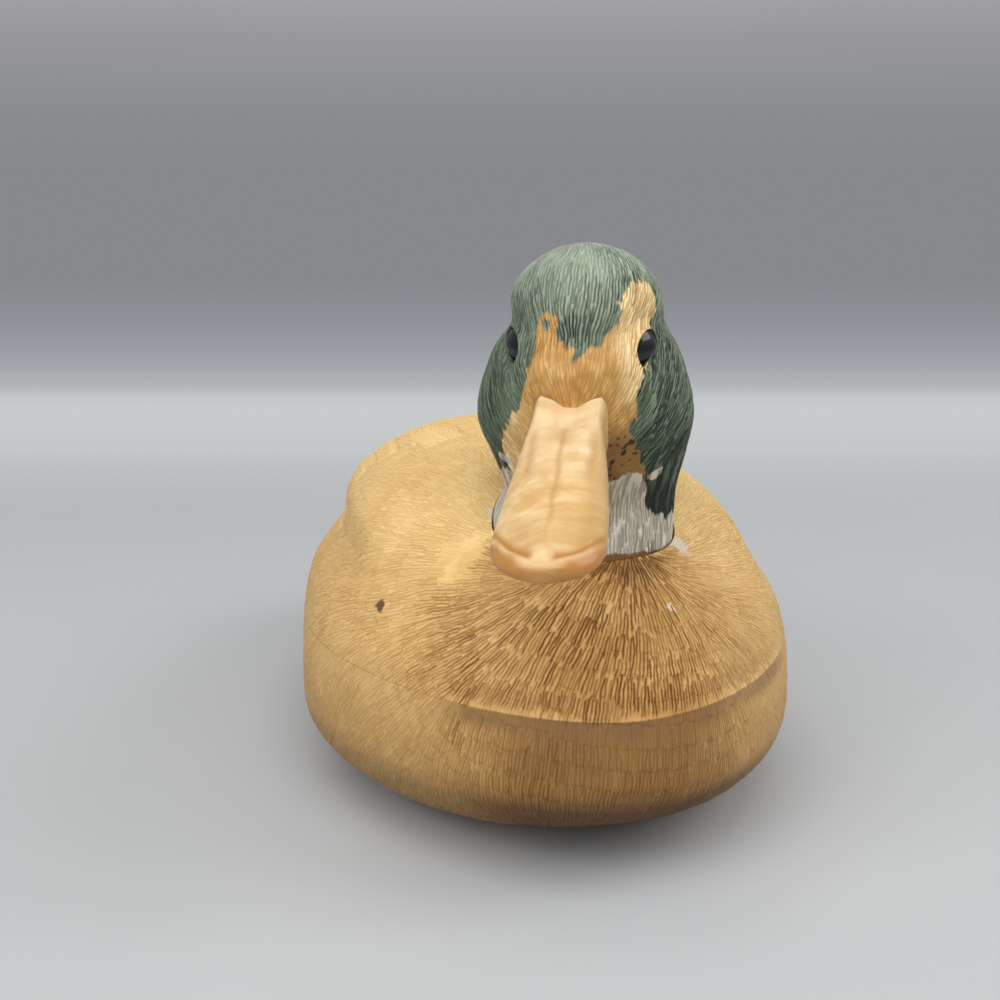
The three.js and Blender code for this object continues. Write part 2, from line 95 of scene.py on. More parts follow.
# Head of the frame, from the neck's axis and seat.
HEAD_TURN = 19.5
NECK_SEAT = 46.0
HEAD_HEIGHT = 62.5
CROWN_STARTS_AT = 48.5
CROWN_DOME = 14.0
NECK_FOOT = 14.0
EYE_HEIGHT = 46.0
EYE_FORWARD = 10.5
EYE_OUTWARD = 60.0
EYE_RISE = 4.0
EYE_SETTLED = 0.45
EYE_VISIBLE = 3.5
CLEARANCE = 0.3

# Bill of the frame, from its buried end.
BILL_BURIED = 9.0
BILL_LENGTH = 37.5
BILL_END = BILL_BURIED + BILL_LENGTH
BILL_DROOP = 19.5
BILL_ROOT_FORWARD = 26.5
BILL_ROOT_HEIGHT = 31.7
BILL_SPOON_AT = BILL_END - 11.0
BILL_TIP_ROUNDING = 10.0
BILL_FULLNESS = 2.15
BILL_EDGE_DROP = 1.2

NOISE_BLOCK = 32
rng = np.random.default_rng(41)


def smoothstep(x, low, high):
    """Rises from 0 at low to 1 at high. It falls instead where low is above high."""
    t = np.clip((x - low) / (high - low), 0, 1)
    return t * t * (3 - 2 * t)


def stretch(x, start, full, fades, end):
    """1 over a stretch of x, rising before it and falling behind it."""
    return smoothstep(x, start, full) * smoothstep(x, end, fades)


def bump(x, size):
    """1 at 0, falling to both sides and almost gone two sizes away."""
    return np.exp(-((x / size) ** 2))


def curve_through(points):
    """A smooth curve through pairs of a distance and a value, that never overshoots them."""
    at, value = np.array(points, float).T
    step = np.diff(at)
    secant = np.diff(value) / step
    slope = np.zeros(len(at))
    slope[0], slope[-1] = secant[0], secant[-1]
    for i in range(1, len(at) - 1):
        product = secant[i - 1] * secant[i]
        if product > 0:
            slope[i] = 2 * product / (secant[i - 1] + secant[i])

    def curve(x):
        x = np.clip(x, at[0], at[-1])
        i = np.clip(np.searchsorted(at, x, side="left") - 1, 0, len(step) - 1)
        t = (x - at[i]) / step[i]
        start = value[i] * (1 + 2 * t) * (1 - t) ** 2 + slope[i] * step[i] * t * (1 - t) ** 2
        end = value[i + 1] * t * t * (3 - 2 * t) - slope[i + 1] * step[i] * t * t * (1 - t)
        return start + end

    return curve


def rounded_start(share, fullness):
    return (1 - (1 - np.clip(share, 0, 1)) ** fullness) ** (1 / fullness)


def ring_coordinate(unit, fullness):
    return np.sign(unit) * np.abs(unit) ** (2 / fullness)


class Noise:
    """Smooth noise between -1 and 1 at points in space, from a wrapping block of random values."""

    def __init__(self, seed):
        self.block = np.random.default_rng(seed).uniform(-1, 1, (NOISE_BLOCK,) * 3)

    def __call__(self, points, size):
        scaled = np.asarray(points) / size
        cell = np.floor(scaled).astype(int)
        share = scaled - cell
        share = np.moveaxis(share * share * (3 - 2 * share), -1, 0)
        low, high = (np.moveaxis((cell + side) % NOISE_BLOCK, -1, 0) for side in (0, 1))
        (x, y, z), (wx, wy, wz) = zip(low, high), zip(1 - share, share)
        total = 0
        for a, b, c in np.ndindex(2, 2, 2):
            total = total + self.block[x[a], y[b], z[c]] * wx[a] * wy[b] * wz[c]
        return total


noise_a, noise_b, noise_c = Noise(1), Noise(2), Noise(3)


# Shapes of the frame

body_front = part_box("body_lower")[0].y / MM
seam_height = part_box("body_lower")[1].z / MM
screw_low, screw_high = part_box("neck_screw")
neck_axis = np.array([(screw_low.x + screw_high.x) / 2, (screw_low.y + screw_high.y) / 2]) / MM

half_width_behind = curve_through([
    [WIDEST_AT, BODY_WIDTH / 2], [HAUNCH_AT, 46.5], [RUMP_AT, 35.5], [TAIL_ROOT_AT, 26.0],
    [TAIL_AT, TAIL_WIDTH / 2], [BODY_LENGTH, TAIL_WIDTH / 2],
])
middle_line = curve_through([
    [0, 22.0], [SHOULDER_AT, 20.0], [HAUNCH_AT, 20.0], [TAIL_ROOT_AT, 28.0], [BODY_LENGTH, 38.75],
])
back_line = curve_through([
    [0, 64.0], [SHOULDER_AT, 64.0], [(SHOULDER_AT + HAUNCH_AT) / 2, 65.5], [HAUNCH_AT, 65.5],
    [RUMP_AT, 54.0], [TAIL_AT, 43.5], [BODY_LENGTH, 41.5],
])
keel_line = curve_through([
    [0, -KEEL_DEPTH], [FOREFOOT_AT, -KEEL_DEPTH], [RUMP_AT - 10.0, -KEEL_DEPTH / 2],
    [TAIL_ROOT_AT, 10.0], [BODY_LENGTH, 36.0],
])
wing_edge_angle = curve_through([
    [CREASE_STARTS_AT, CREASE_ANGLE], [HAUNCH_AT, CREASE_ANGLE],
    [BODY_LENGTH - CREASE_ENDS_FROM_TAIL, CREASE_ANGLE + CREASE_CLIMB],
])


def wing_relief(along, angle):
    """How far the folded wing stands out, and the crease under its edge lies in."""
    from_edge = angle - wing_edge_angle(along)
    wing = WING_RISE * smoothstep(from_edge, 0, CREASE_WIDTH)
    crease = CREASE_DEPTH * bump(from_edge, CREASE_WIDTH)
    comes = smoothstep(along, CREASE_STARTS_AT, CREASE_FULL_AT)
    goes = smoothstep(BODY_LENGTH - along, CREASE_ENDS_FROM_TAIL, CREASE_FADES_FROM_TAIL)
    return comes * goes * (wing - crease)


def body_points(along, turn):
    """The body's skin, by the distance back from the breast and the angle round its middle."""
    front = BODY_WIDTH / 2 * rounded_start(along / WIDEST_AT, BREAST_FULLNESS)
    tail_end = np.sqrt(np.clip((BODY_LENGTH - along) / TAIL_ROUNDING, 0, 1))
    half_width = np.where(along < WIDEST_AT, front, half_width_behind(along) * tail_end)
    middle = middle_line(along)
    up = (back_line(along) - middle) * rounded_start(along / SHOULDER_AT, SHOULDER_FULLNESS)
    down = (middle - keel_line(along)) * rounded_start(along / FOREFOOT_AT, FOREFOOT_FULLNESS)
    fullness = np.where(np.sin(turn) > 0, UPPER_FULLNESS, LOWER_FULLNESS)
    across = half_width * ring_coordinate(np.cos(turn), fullness)
    rise = np.where(np.sin(turn) > 0, up, down) * ring_coordinate(np.sin(turn), fullness)
    radius = np.hypot(across, rise)
    angle = np.degrees(np.arctan2(rise, np.abs(across)))
    scale = 1 + wing_relief(along, angle) / np.maximum(radius, WALL)
    height = np.maximum(middle + rise * scale, 0)
    return np.stack([across * scale, along + body_front + 0 * turn, height], -1)


def head_curve(neck, jaw, cheek, brow, crown):
    return curve_through([
        [0, neck], [18.0, neck], [26.0, jaw], [33.0, cheek], [42.0, brow], [CROWN_STARTS_AT, crown],
    ])


head_half_width = head_curve(16.2, 17.2, 17.8, 16.6, 14.4)
head_front = head_curve(15.5, 19.0, 22.5, 24.0, 20.0)
head_back = head_curve(18.0, 22.0, 27.0, 30.0, 28.0)
front_fullness = curve_through([[0, 2.1], [18.0, 2.1], [33.0, 1.75], [HEAD_HEIGHT, 1.75]])
BACK_OF_HEAD_FULLNESS = 2.2


def face_relief(y, height):
    cheek = 1.6 * bump(y - 3.0, 10.0) * bump(height - 33.0, 10.0)
    eye = 1.2 * bump(y + EYE_FORWARD, 6.0) * bump(height - EYE_HEIGHT, 6.0)
    channel = 1.4 * bump(height - 49.5, 3.6) * smoothstep(16.0 - y, 0, 16.0)
    return np.where(height < NECK_FOOT, 0, cheek - eye - channel)


def head_points(height, turn):
    """The head's skin in its own frame, by level and by the angle round the neck's axis."""
    share = np.clip((height - CROWN_STARTS_AT) / CROWN_DOME, 0, 1)
    dome = np.sqrt(1 - share * share)
    facing = np.sin(turn) < 0
    fullness = np.where(facing, front_fullness(height), BACK_OF_HEAD_FULLNESS)
    reach = np.where(facing, head_front(height), head_back(height)) * dome
    y = reach * ring_coordinate(np.sin(turn), fullness)
    side = ring_coordinate(np.cos(turn), fullness)
    x = head_half_width(height) * dome * side + face_relief(y, height) * dome * side
    return np.stack([x, y, height + 0 * turn], -1)


def place_on_neck(points):
    turn = math.radians(-HEAD_TURN)
    x, y = points[..., 0], points[..., 1]
    return np.stack([
        neck_axis[0] + x * math.cos(turn) - y * math.sin(turn),
        neck_axis[1] + x * math.sin(turn) + y * math.cos(turn),
        points[..., 2] + NECK_SEAT,
    ], -1)


bill_half_width = curve_through([
    [0, 6.0], [BILL_BURIED, 6.0], [BILL_BURIED + 10.0, 7.3], [BILL_SPOON_AT, 8.5], [BILL_END, 8.5],
])
bill_top = curve_through([
    [0, 6.6], [BILL_BURIED, 6.6], [BILL_BURIED + 10.0, 4.7], [BILL_SPOON_AT, 2.8], [BILL_END, 2.8],
])
bill_under = curve_through([[0, 5.5], [BILL_BURIED, 5.5], [BILL_SPOON_AT, 2.4], [BILL_END, 2.4]])


def place_bill(points):
    droop = math.radians(BILL_DROOP)
    y, z = points[..., 1] + BILL_BURIED, points[..., 2]
    return place_on_neck(np.stack([
        points[..., 0],
        y * math.cos(droop) - z * math.sin(droop) - BILL_ROOT_FORWARD,
        y * math.sin(droop) + z * math.cos(droop) + BILL_ROOT_HEIGHT,
    ], -1))


# Skins: grids of points, wrapped across, with a normal at each point


def normals_of(points):
    across = np.roll(points, -1, 1) - np.roll(points, 1, 1)
    down = np.gradient(points, axis=0)
    normal = np.cross(across, down)
    return normal / np.maximum(np.linalg.norm(normal, axis=-1, keepdims=True), 1e-9)


def faced(normals, away):
    """Normals turned to the side that the given directions lie on."""
    return normals * np.where((normals * away).sum(-1, keepdims=True) < 0, -1, 1)


def respaced(line, count, weight=1):
    """A line of points laid out again, evenly spaced but for the weight of each step."""
    step = np.linalg.norm(np.diff(line, axis=0), axis=1) * weight
    grown = np.concatenate([[0], np.cumsum(step)])
    at = np.linspace(0, grown[-1], count)
    return np.stack([np.interp(at, grown, line[:, axis]) for axis in range(3)], -1)


def grid_faces(rows, columns):
    """The numbers of a wrapped grid's points, and its faces of four."""
    index = np.arange(rows * columns).reshape(rows, columns)
    here, below = index[:-1], index[1:]
    faces = np.stack([here, below, np.roll(below, -1, 1), np.roll(here, -1, 1)], -1)
    return index, faces.reshape(-1, 4)


def doubled(grid):
    """The grid with a point halfway between each two, wrapped across."""
    wide = np.empty((grid.shape[0], grid.shape[1] * 2) + grid.shape[2:])
    wide[:, 0::2] = grid
    wide[:, 1::2] = (grid + np.roll(grid, -1, 1)) / 2
    tall = np.empty((grid.shape[0] * 2 - 1,) + wide.shape[1:])
    tall[0::2] = wide
    tall[1::2] = (wide[:-1] + wide[1:]) / 2
    return tall


class Skin:
    """A carved surface: where it is, which way it faces, and what is cut into it so far."""

    def __init__(self, points, normals):
        self.points = points
        self.normals = normals / np.linalg.norm(normals, axis=-1, keepdims=True)
        self.rows, self.columns = points.shape[:2]
        self.row_step = np.linalg.norm(np.gradient(points, axis=0), axis=-1)
        self.column_step = np.linalg.norm(np.roll(points, -1, 1) - points, axis=-1)
        self.lift, self.groove, self.burn, self.tint, self.rear, self.lid = np.zeros(
            (6, self.rows, self.columns))

    def window(self, row, column, reach):
        up = int(reach / max(self.row_step[row, column], 0.05)) + 1
        side = int(reach / max(self.column_step[row, column], 0.05)) + 1
        side = min(side, self.columns // 2 - 1)
        rows = np.arange(max(row - up, 0), min(row + up + 1, self.rows))
        columns = np.arange(column - side, column + side + 1) % self.columns
        return np.ix_(rows, columns)

    def set_flow(self, field, direction):
        """Keeps the field that rows follow, and the strokes' direction laid along the surface."""
        self.field = field
        flow = direction - self.normals * (direction * self.normals).sum(-1, keepdims=True)
        self.flow = flow / np.maximum(np.linalg.norm(flow, axis=-1, keepdims=True), 1e-9)

    def displaced(self, depth):
        height = self.lift - depth * self.groove
        return self.points + self.normals * height[..., None]


def level_seeds(skin, field, level, spacing):
    """Places one spacing apart where a field crosses a level, as rows, columns and points."""
    found = []
    for here, ahead, down in ((field[:-1], field[1:], 1), (field, np.roll(field, -1, 1), 0)):
        row, column = np.nonzero((here - level) * (ahead - level) < 0)
        share = ((level - here[row, column]) / (ahead[row, column] - here[row, column]))[:, None]
        far = skin.points[row + down, (column + 1 - down) % skin.columns]
        found.append((row, column, skin.points[row, column] * (1 - share) + far * share))
    row, column, point = (np.concatenate(parts) for parts in zip(*found))
    if not len(row):
        return []
    chosen = []
    alive = np.ones(len(row), bool)
    here = int(rng.integers(len(row)))
    while True:
        chosen.append(here)
        away = ((point - point[here]) ** 2).sum(1)
        alive &= away >= (spacing * rng.uniform(0.88, 1.14)) ** 2
        if not alive.any():
            break
        here = int(np.argmin(np.where(alive, away, FAR)))
    return [(row[i], column[i], point[i]) for i in chosen]


def cut_stroke(skin, row, column, place, turn, length, half_width, strength, burn):
    """Cuts one thin groove along the flow, sharp where it starts and fading where it ends."""
    normal = skin.normals[row, column]
    flow = skin.flow[row, column]
    side = np.cross(normal, flow)
    along = flow * math.cos(turn) + side * math.sin(turn)
    across = side * math.cos(turn) - flow * math.sin(turn)
    where = skin.window(row, column, length * 0.55)
    offset = skin.points[where] - place
    u, v = offset @ along, offset @ across
    v = v - rng.normal(0, 0.05) * (u * u - length) / length - 0.05 * np.sin(2.1 * u + row)
    ends = smoothstep(u, -length / 2, 0.5 - length / 2) * smoothstep(u, length / 2, length / 2 - 1.6)
    profile = bump(v, half_width) * ends
    skin.groove[where] = np.maximum(skin.groove[where], profile * strength)
    skin.burn[where] = np.maximum(skin.burn[where], profile * burn)


def comb(skin, field, first, last, row_gap, spacing, length, half_width, strength, burn, lean):
    """Rows of strokes over a skin, where strength and burn are grids of 0 to 1."""
    level = first
    while level < last:
        for row, column, place in level_seeds(skin, field, level, spacing):
            depth = strength[row, column]
            if depth < 0.04:
                continue
            along = length * rng.uniform(0.78, 1.2)
            place = place + skin.flow[row, column] * rng.normal(0, 0.09 * length)
            cut_stroke(
                skin, row, column, place, lean[row, column] + rng.normal(0, 0.035), along,
                half_width * rng.uniform(0.8, 1.2), depth * rng.uniform(0.7, 1.1),
                burn[row, column] * rng.choice([0.75, 0.9, 1.0, 1.1]))
        level += row_gap


def lay_feather(skin, row, column, heading, length, width, look):
    """Carves one feather, its root at a point of the skin and its tip downstream.

    Its look says how rounded the tip is, how high the crown and the step at its end stand, and how
    deep, wide apart and wavy its barbs are.
    """
    normal = skin.normals[row, column]
    flow = heading - normal * np.dot(heading, normal)
    flow = flow / max(np.linalg.norm(flow), 1e-9)
    side = np.cross(normal, flow)
    where = skin.window(row, column, length * 1.25)
    offset = skin.points[where] - skin.points[row, column]
    u, v, away = offset @ flow, offset @ side, np.abs(offset @ normal)
    edge = np.clip(np.abs(v) / (width / 2), 0, 1)
    tip = length * (1 - look["tip"] * (1 - np.sqrt(1 - edge**2.2)))
    inside = (np.abs(v) < width / 2) & (u > -0.3 * length) & (u < tip) & (away < width + 2)
    if not inside.any():
        return
    u, v, tip, edge = u[inside], v[inside], tip[inside], edge[inside]
    lift = look["crown"] * (1 - edge**2) + look["step"] * np.clip(u / length, 0, 1)
    cut = np.zeros_like(u)
    if look["barbs"] > 0:
        turns = (np.abs(v) * 0.85 - 0.6 * u) / look["pitch"] + 0.35 * np.sin(0.9 * u + look["phase"])
        cut = smoothstep(0.5 - 0.5 * np.cos(2 * np.pi * turns), 0.3, 0.95)
        cut = cut * smoothstep(tip - u, 0.3, 1.2) * smoothstep(np.abs(v), 0.25, 0.55) * look["barbs"]
        lift = lift + 0.12 * bump(v, 0.35)
    fall = smoothstep(tip - u, 0, 0.5) * smoothstep(1 - edge, 0, 0.14)
    for grid, value in (
        (skin.lift, lift * fall), (skin.groove, cut),
        (skin.burn, 0.6 * cut + 0.5 * look["barbs"] * (1 - fall)),
        (skin.tint, np.full_like(u, look["tint"])), (skin.rear, np.full_like(u, look["barbs"] > 0)),
    ):
        part = grid[where]
        part[inside] = value
        grid[where] = part


def object_from_grid(name, points, floats, close_start=None, close_end=None):
    """A skin as one closed mesh. Its first and last rows are closed to a point each, if given."""
    rows, columns = points.shape[:2]
    index, quads = grid_faces(rows, columns)
    u = np.arange(columns + 1) / columns
    v = 0.01 + 0.98 * np.arange(rows) / (rows - 1)
    left, top = np.meshgrid(u[:-1], v[:-1])
    right, low = left + 1 / columns, top + 0.98 / (rows - 1)
    corners = ((left, top), (left, low), (right, low), (right, top))
    quad_uvs = np.stack([np.stack(corner, -1) for corner in corners], 2).reshape(-1, 2)
    flat = points.reshape(-1, 3)
    values = {key: value.reshape(-1) for key, value in floats.items()}
    triangles, triangle_uvs = [], []
    for row, centre in ((0, close_start), (-1, close_end)):
        if centre is None:
            continue
        edge = (index[row], u[:-1]), (np.roll(index[row], -1), u[1:])
        (first, first_u), (second, second_u) = edge if row else edge[::-1]
        triangles.append(np.stack([first, second, np.full(columns, len(flat))], -1))
        across = np.stack([first_u, second_u, (u[1:] + u[:-1]) / 2], -1)
        down = np.tile([v[row], v[row], 1.0 if row else 0.0], (columns, 1))
        triangle_uvs.append(np.stack([across, down], -1).reshape(-1, 2))
        flat = np.concatenate([flat, [centre]])
        values = {key: np.append(value, value[index[row]].mean()) for key, value in values.items()}
    return new_object(name, flat, quads, quad_uvs, triangles, triangle_uvs, values)


def new_object(name, points, quads, quad_uvs, triangles=(), triangle_uvs=(), floats=None):
    """A smooth mesh of fours, with flat triangles, and a value at each point for every mask."""
    mesh = bpy.data.meshes.new(name)
    mesh.vertices.add(len(points))
    mesh.vertices.foreach_set("co", np.asarray(points * MM, np.float32).ravel())
    corners = np.concatenate([faces.ravel() for faces in (quads, *triangles)]).astype(np.int32)
    sizes = np.concatenate([np.full(len(faces), faces.shape[1]) for faces in (quads, *triangles)])
    mesh.loops.add(len(corners))
    mesh.loops.foreach_set("vertex_index", corners)
    mesh.polygons.add(len(sizes))
    mesh.polygons.foreach_set("loop_start", (np.cumsum(sizes) - sizes).astype(np.int32))
    mesh.update(calc_edges=True)
    mesh.polygons.foreach_set("use_smooth", sizes == 4)
    layer = mesh.uv_layers.new(name="OFBake")
    layer.data.foreach_set("uv", np.concatenate([quad_uvs, *triangle_uvs]).astype(np.float32).ravel())
    for key, values in (floats or {}).items():
        attribute = mesh.attributes.new(key, "FLOAT", "POINT")
        attribute.data.foreach_set("value", np.asarray(values, np.float32))
    made = bpy.data.objects.new(name, mesh)
    bpy.context.scene.collection.objects.link(made)
    return made


# Body skin

BODY_COLUMNS = 900
UPPER_ROWS = 160
LOWER_ROWS = 120
COLLAR_RISE = 3.2
COLLAR_REACH = 8.0
LEAST_BURN = 0.5
GROOVE_DEPTH = 0.2
ROW_GAP = 3.7
SEARCH_STRIDE = 5
UNDERSIDE_LEVEL = 0.05
UNDERSIDE_SHARE = 0.12
RAY_REACH = 260.0
HIGHEST_RAY = 66.0
LOWEST_RAY = -89.9
FIELD_START = 1.6
THIN_START = 3.4
FIELD_END = 190.0
SEAM_STROKES = (0.56, 4.6, 0.24)
BURNED_STROKES = (0.56, 5.9, 0.24)
THIN_STROKES = (0.95, 3.2, 0.18)
FLAT_FEATHER = {"tip": 0.35, "crown": 0.05, "step": 0.14, "barbs": 0}
RAISED_FEATHER = {"crown": 0.22, "step": 0.4}
TAIL_END = body_front + BODY_LENGTH
FRONT_SOURCE = np.array([4.0, -52.0, 54.0])
SIDE_SOURCE = np.array([-2.8, -76.7, 60.7])


def within_box(points):
    low, high = (np.array(corner) / MM for corner in cad_box)
    return np.clip(points, low, high)


def neck_reach(azimuth):
    """How far the neck's foot reaches from its axis, by the direction round it from the front."""
    ring = head_points(np.zeros(1), np.linspace(0, 2 * np.pi, 361)[:-1])
    ring = place_on_neck(ring)[:, :2] - neck_axis
    around = np.arctan2(ring[:, 0], -ring[:, 1])
    order = np.argsort(around)
    reach = np.hypot(ring[:, 0], ring[:, 1])[order]
    return np.interp(azimuth, around[order], reach, period=2 * np.pi)


def azimuths():
    """Directions round the neck's axis, closer together where the breast is."""
    fine = np.linspace(-np.pi, np.pi, 1441)
    outline = body_points(np.linspace(0, BODY_LENGTH, 900)[:, None], np.array([[0.2, np.pi - 0.2]]))
    outline = np.concatenate([outline[::-1, 1], outline[:, 0]])[:, :2] - neck_axis
    around = np.unwrap(np.arctan2(outline[:, 0], -outline[:, 1]))
    order = np.argsort(around)
    radius = np.interp(fine, around[order], np.hypot(*outline.T)[order], period=2 * np.pi)
    step = np.hypot(np.diff(radius), np.diff(fine) * radius[1:])
    middle = (fine[1:] + fine[:-1]) / 2
    weight = 0.34 + 0.66 * smoothstep(np.abs(middle), 2.2, 1.6)
    grown = np.concatenate([[0], np.cumsum(step * weight)])
    return np.interp(np.arange(BODY_COLUMNS) / BODY_COLUMNS * grown[-1], grown, fine)


def body_skin():
    """The body's skin from the neck's foot down, and the row of it that lies on the seam."""
    along = BODY_LENGTH * (1 - np.cos(np.linspace(0.002, np.pi - 0.002, 420))) / 2
    turns = np.linspace(0, 2 * np.pi, 361)[:-1]
    dense = body_points(along[:, None], turns[None])
    index, faces = grid_faces(*dense.shape[:2])
    ends = [index[0].tolist(), index[-1][::-1].tolist()]
    tree = BVHTree.FromPolygons(dense.reshape(-1, 3).tolist(), faces.tolist() + ends)
    centre = np.array([neck_axis[0], neck_axis[1], seam_height])
    around = azimuths()
    upper = np.radians(np.linspace(HIGHEST_RAY, 0, 221))
    lower = np.radians(np.linspace(0, LOWEST_RAY, 231))[1:]
    tilt = np.concatenate([upper, lower])
    seam_index = len(upper) - 1
    hits = np.zeros((len(tilt), BODY_COLUMNS, 3))
    for column, azimuth in enumerate(around):
        flat = np.array([math.sin(azimuth), -math.cos(azimuth), 0])
        for row, angle in enumerate(tilt):
            ray = flat * math.cos(angle) + np.array([0, 0, math.sin(angle)])
            hit = tree.ray_cast(Vector(centre + ray * RAY_REACH), Vector(-ray))[0]
            hits[row, column] = hit if hit is not None else centre + ray * 20
    hits[seam_index, :, 2] = seam_height
    out = np.hypot(hits[..., 0] - centre[0], hits[..., 1] - centre[1])
    grid = np.zeros((UPPER_ROWS + LOWER_ROWS, BODY_COLUMNS, 3))
    for column, azimuth in enumerate(around):
        meridian = hits[:, column]
        cut = neck_reach(azimuth) + CLEARANCE
        first = int(np.argmax(out[:, column] > cut))
        share = (cut - out[first - 1, column]) / max(out[first, column] - out[first - 1, column], 1e-6)
        edge = meridian[first - 1] + (meridian[first] - meridian[first - 1]) * np.clip(share, 0, 1)
        top = np.concatenate([[edge], meridian[first:seam_index + 1]])
        low = meridian[seam_index:]
        for part, start, count in ((top, 0, UPPER_ROWS), (low, UPPER_ROWS - 1, LOWER_ROWS + 1)):
            weight = np.where(part[1:, 2] < UNDERSIDE_LEVEL, UNDERSIDE_SHARE, 1)
            grid[start:start + count, column] = respaced(part, count, weight)
    grid[UPPER_ROWS - 1, :, 2] = seam_height
    raise_collar(grid)
    normal = faced(normals_of(grid), grid - centre)
    for _ in range(3):
        normal = (np.roll(normal, 1, 1) + 2 * normal + np.roll(normal, -1, 1)) / 4
    return Skin(doubled(grid), doubled(normal)), 2 * (UPPER_ROWS - 1)


def raise_collar(grid):
    """Lifts the breast where the neck stands in it."""
    offset = grid[..., :2] - neck_axis
    azimuth = np.arctan2(offset[..., 0], -offset[..., 1])
    out = np.hypot(offset[..., 0], offset[..., 1]) - neck_reach(azimuth)
    above = grid[..., 2] > NECK_SEAT - 6
    falling = np.exp(-((np.maximum(out, 0) / COLLAR_REACH) ** 1.4))
    grid[..., 2] += np.where(above, COLLAR_RISE * bump(azimuth - 0.25, 1.0) * falling, 0)


def lay_body_flow(skin, seam_row):
    """Runs the feathers down the breast from the neck's foot, and back along the flanks."""
    side = smoothstep(np.abs(azimuth_of(skin.points, neck_axis)), 25, 80)
    away = skin.points - (FRONT_SOURCE + (SIDE_SOURCE - FRONT_SOURCE) * side[..., None])
    reach = np.linalg.norm(away, axis=-1)
    walked = np.cumsum(skin.row_step, axis=0)
    skin.from_neck = walked
    walked = walked - walked[seam_row]
    skin.to_seam = -walked
    down = np.gradient(skin.points, axis=0) / np.maximum(skin.row_step, 1e-6)[..., None]
    below = (smoothstep(walked, -4, 8) * (1 - 0.75 * side))[..., None]
    lower = (reach[seam_row] + walked) * (1 - side) + reach * side
    field = np.where(walked > 0, lower, reach)
    skin.set_flow(field, away / reach[..., None] * (1 - 0.45 * below) + down * below)


def azimuth_of(points, axis=(0, 0)):
    """Directions round an axis in degrees, 0 in front and growing towards +X."""
    return np.degrees(np.arctan2(points[..., 0] - axis[0], axis[1] - points[..., 1]))


def burn_share(points):
    """How strongly the feathers are burned in: most on the breast, least on the back."""
    around = azimuth_of(points, neck_axis)
    z = points[..., 2]
    front = stretch(around, -100, -15, 8, 72)
    top = smoothstep(z, 50, 62) * smoothstep(np.abs(around), 75, 120)
    return (LEAST_BURN + (1 - LEAST_BURN) * front) * (1 - 0.3 * top)


def carve_body(skin, seam_row):
    """Cuts the flat feathers row by row, then the raised ones of the back, then the strokes."""
    points = skin.points
    x, y, z = np.moveaxis(points, -1, 0)
    lay_body_flow(skin, seam_row)
    wavy = skin.field + 0.4 * noise_a(points, 3.2) + 0.12 * noise_b(points, 1.5)
    for level in np.arange(186.6, 3.0, -ROW_GAP):
        for row, column, _ in level_seeds(skin, skin.field, level, 4.4):
            if points[row, column, 2] < 0.3:
                continue
            look = {**FLAT_FEATHER, "tint": rng.uniform(-1, 1)}
            lay_feather(skin, row, column, skin.flow[row, column], 5.3, 6.0, look)
    carve_back_feathers(skin)
    share = burn_share(points)
    flat = smoothstep(z, 0.3, 1.6)
    plain = smoothstep(np.hypot((x + 22.5) / 5.5, (y + 44.5) / 5.5), 1.1, 0.6) * (z > seam_height + 8)
    around = azimuth_of(points, neck_axis)
    front = stretch(around, -68, -50, 80, 100)
    under_seam = stretch(seam_height - z, -0.1, 0.4, 1.6, 4.4)
    skin.smear = under_seam * front * np.clip(0.8 + 0.5 * noise_a(points, 5.0), 0, 1)
    keep = flat * (1 - skin.rear) * (1 - 0.8 * plain) * (1 - 0.5 * skin.smear)
    keep = keep * (1 - front * bump(z - seam_height, 0.4))
    patchy = np.clip(0.93 + 0.2 * noise_b(points, 9.0) + 0.15 * noise_c(points, 3.0), 0.5, 1.2)
    strength = keep * (0.45 + 0.55 * share) * patchy
    near_neck = smoothstep(skin.field, 13, 4) * front
    burn = keep * share * patchy * (1 - 0.15 * smoothstep(seam_height - z, -0.5, 1.5))
    burn = burn * (1.1 + 0.35 * near_neck)
    lean = 0.14 * noise_c(points, 7.0)
    in_front = strength * front, burn * front
    for measured, level in ((skin.from_neck, 1.8), (skin.to_seam, 2.3)):
        comb(skin, measured, level, level + 0.1, 1.0, *SEAM_STROKES, *in_front, lean)
    comb(skin, wavy, FIELD_START, FIELD_END, ROW_GAP, *BURNED_STROKES, strength, burn, lean)
    thin = 0.6 * front
    comb(skin, wavy, THIN_START, FIELD_END, ROW_GAP, *THIN_STROKES, thin * strength, thin * burn, lean)
    skin.lift = (skin.lift + 0.05 * noise_a(points, 6.0) + 0.02 * noise_b(points, 1.1)) * flat
    skin.lift += 0.09 * bump(z - seam_height, 0.28) * front
    skin.lift *= smoothstep(TAIL_END - y, 0, 4)
    skin.lift[z < 0.25] = 0


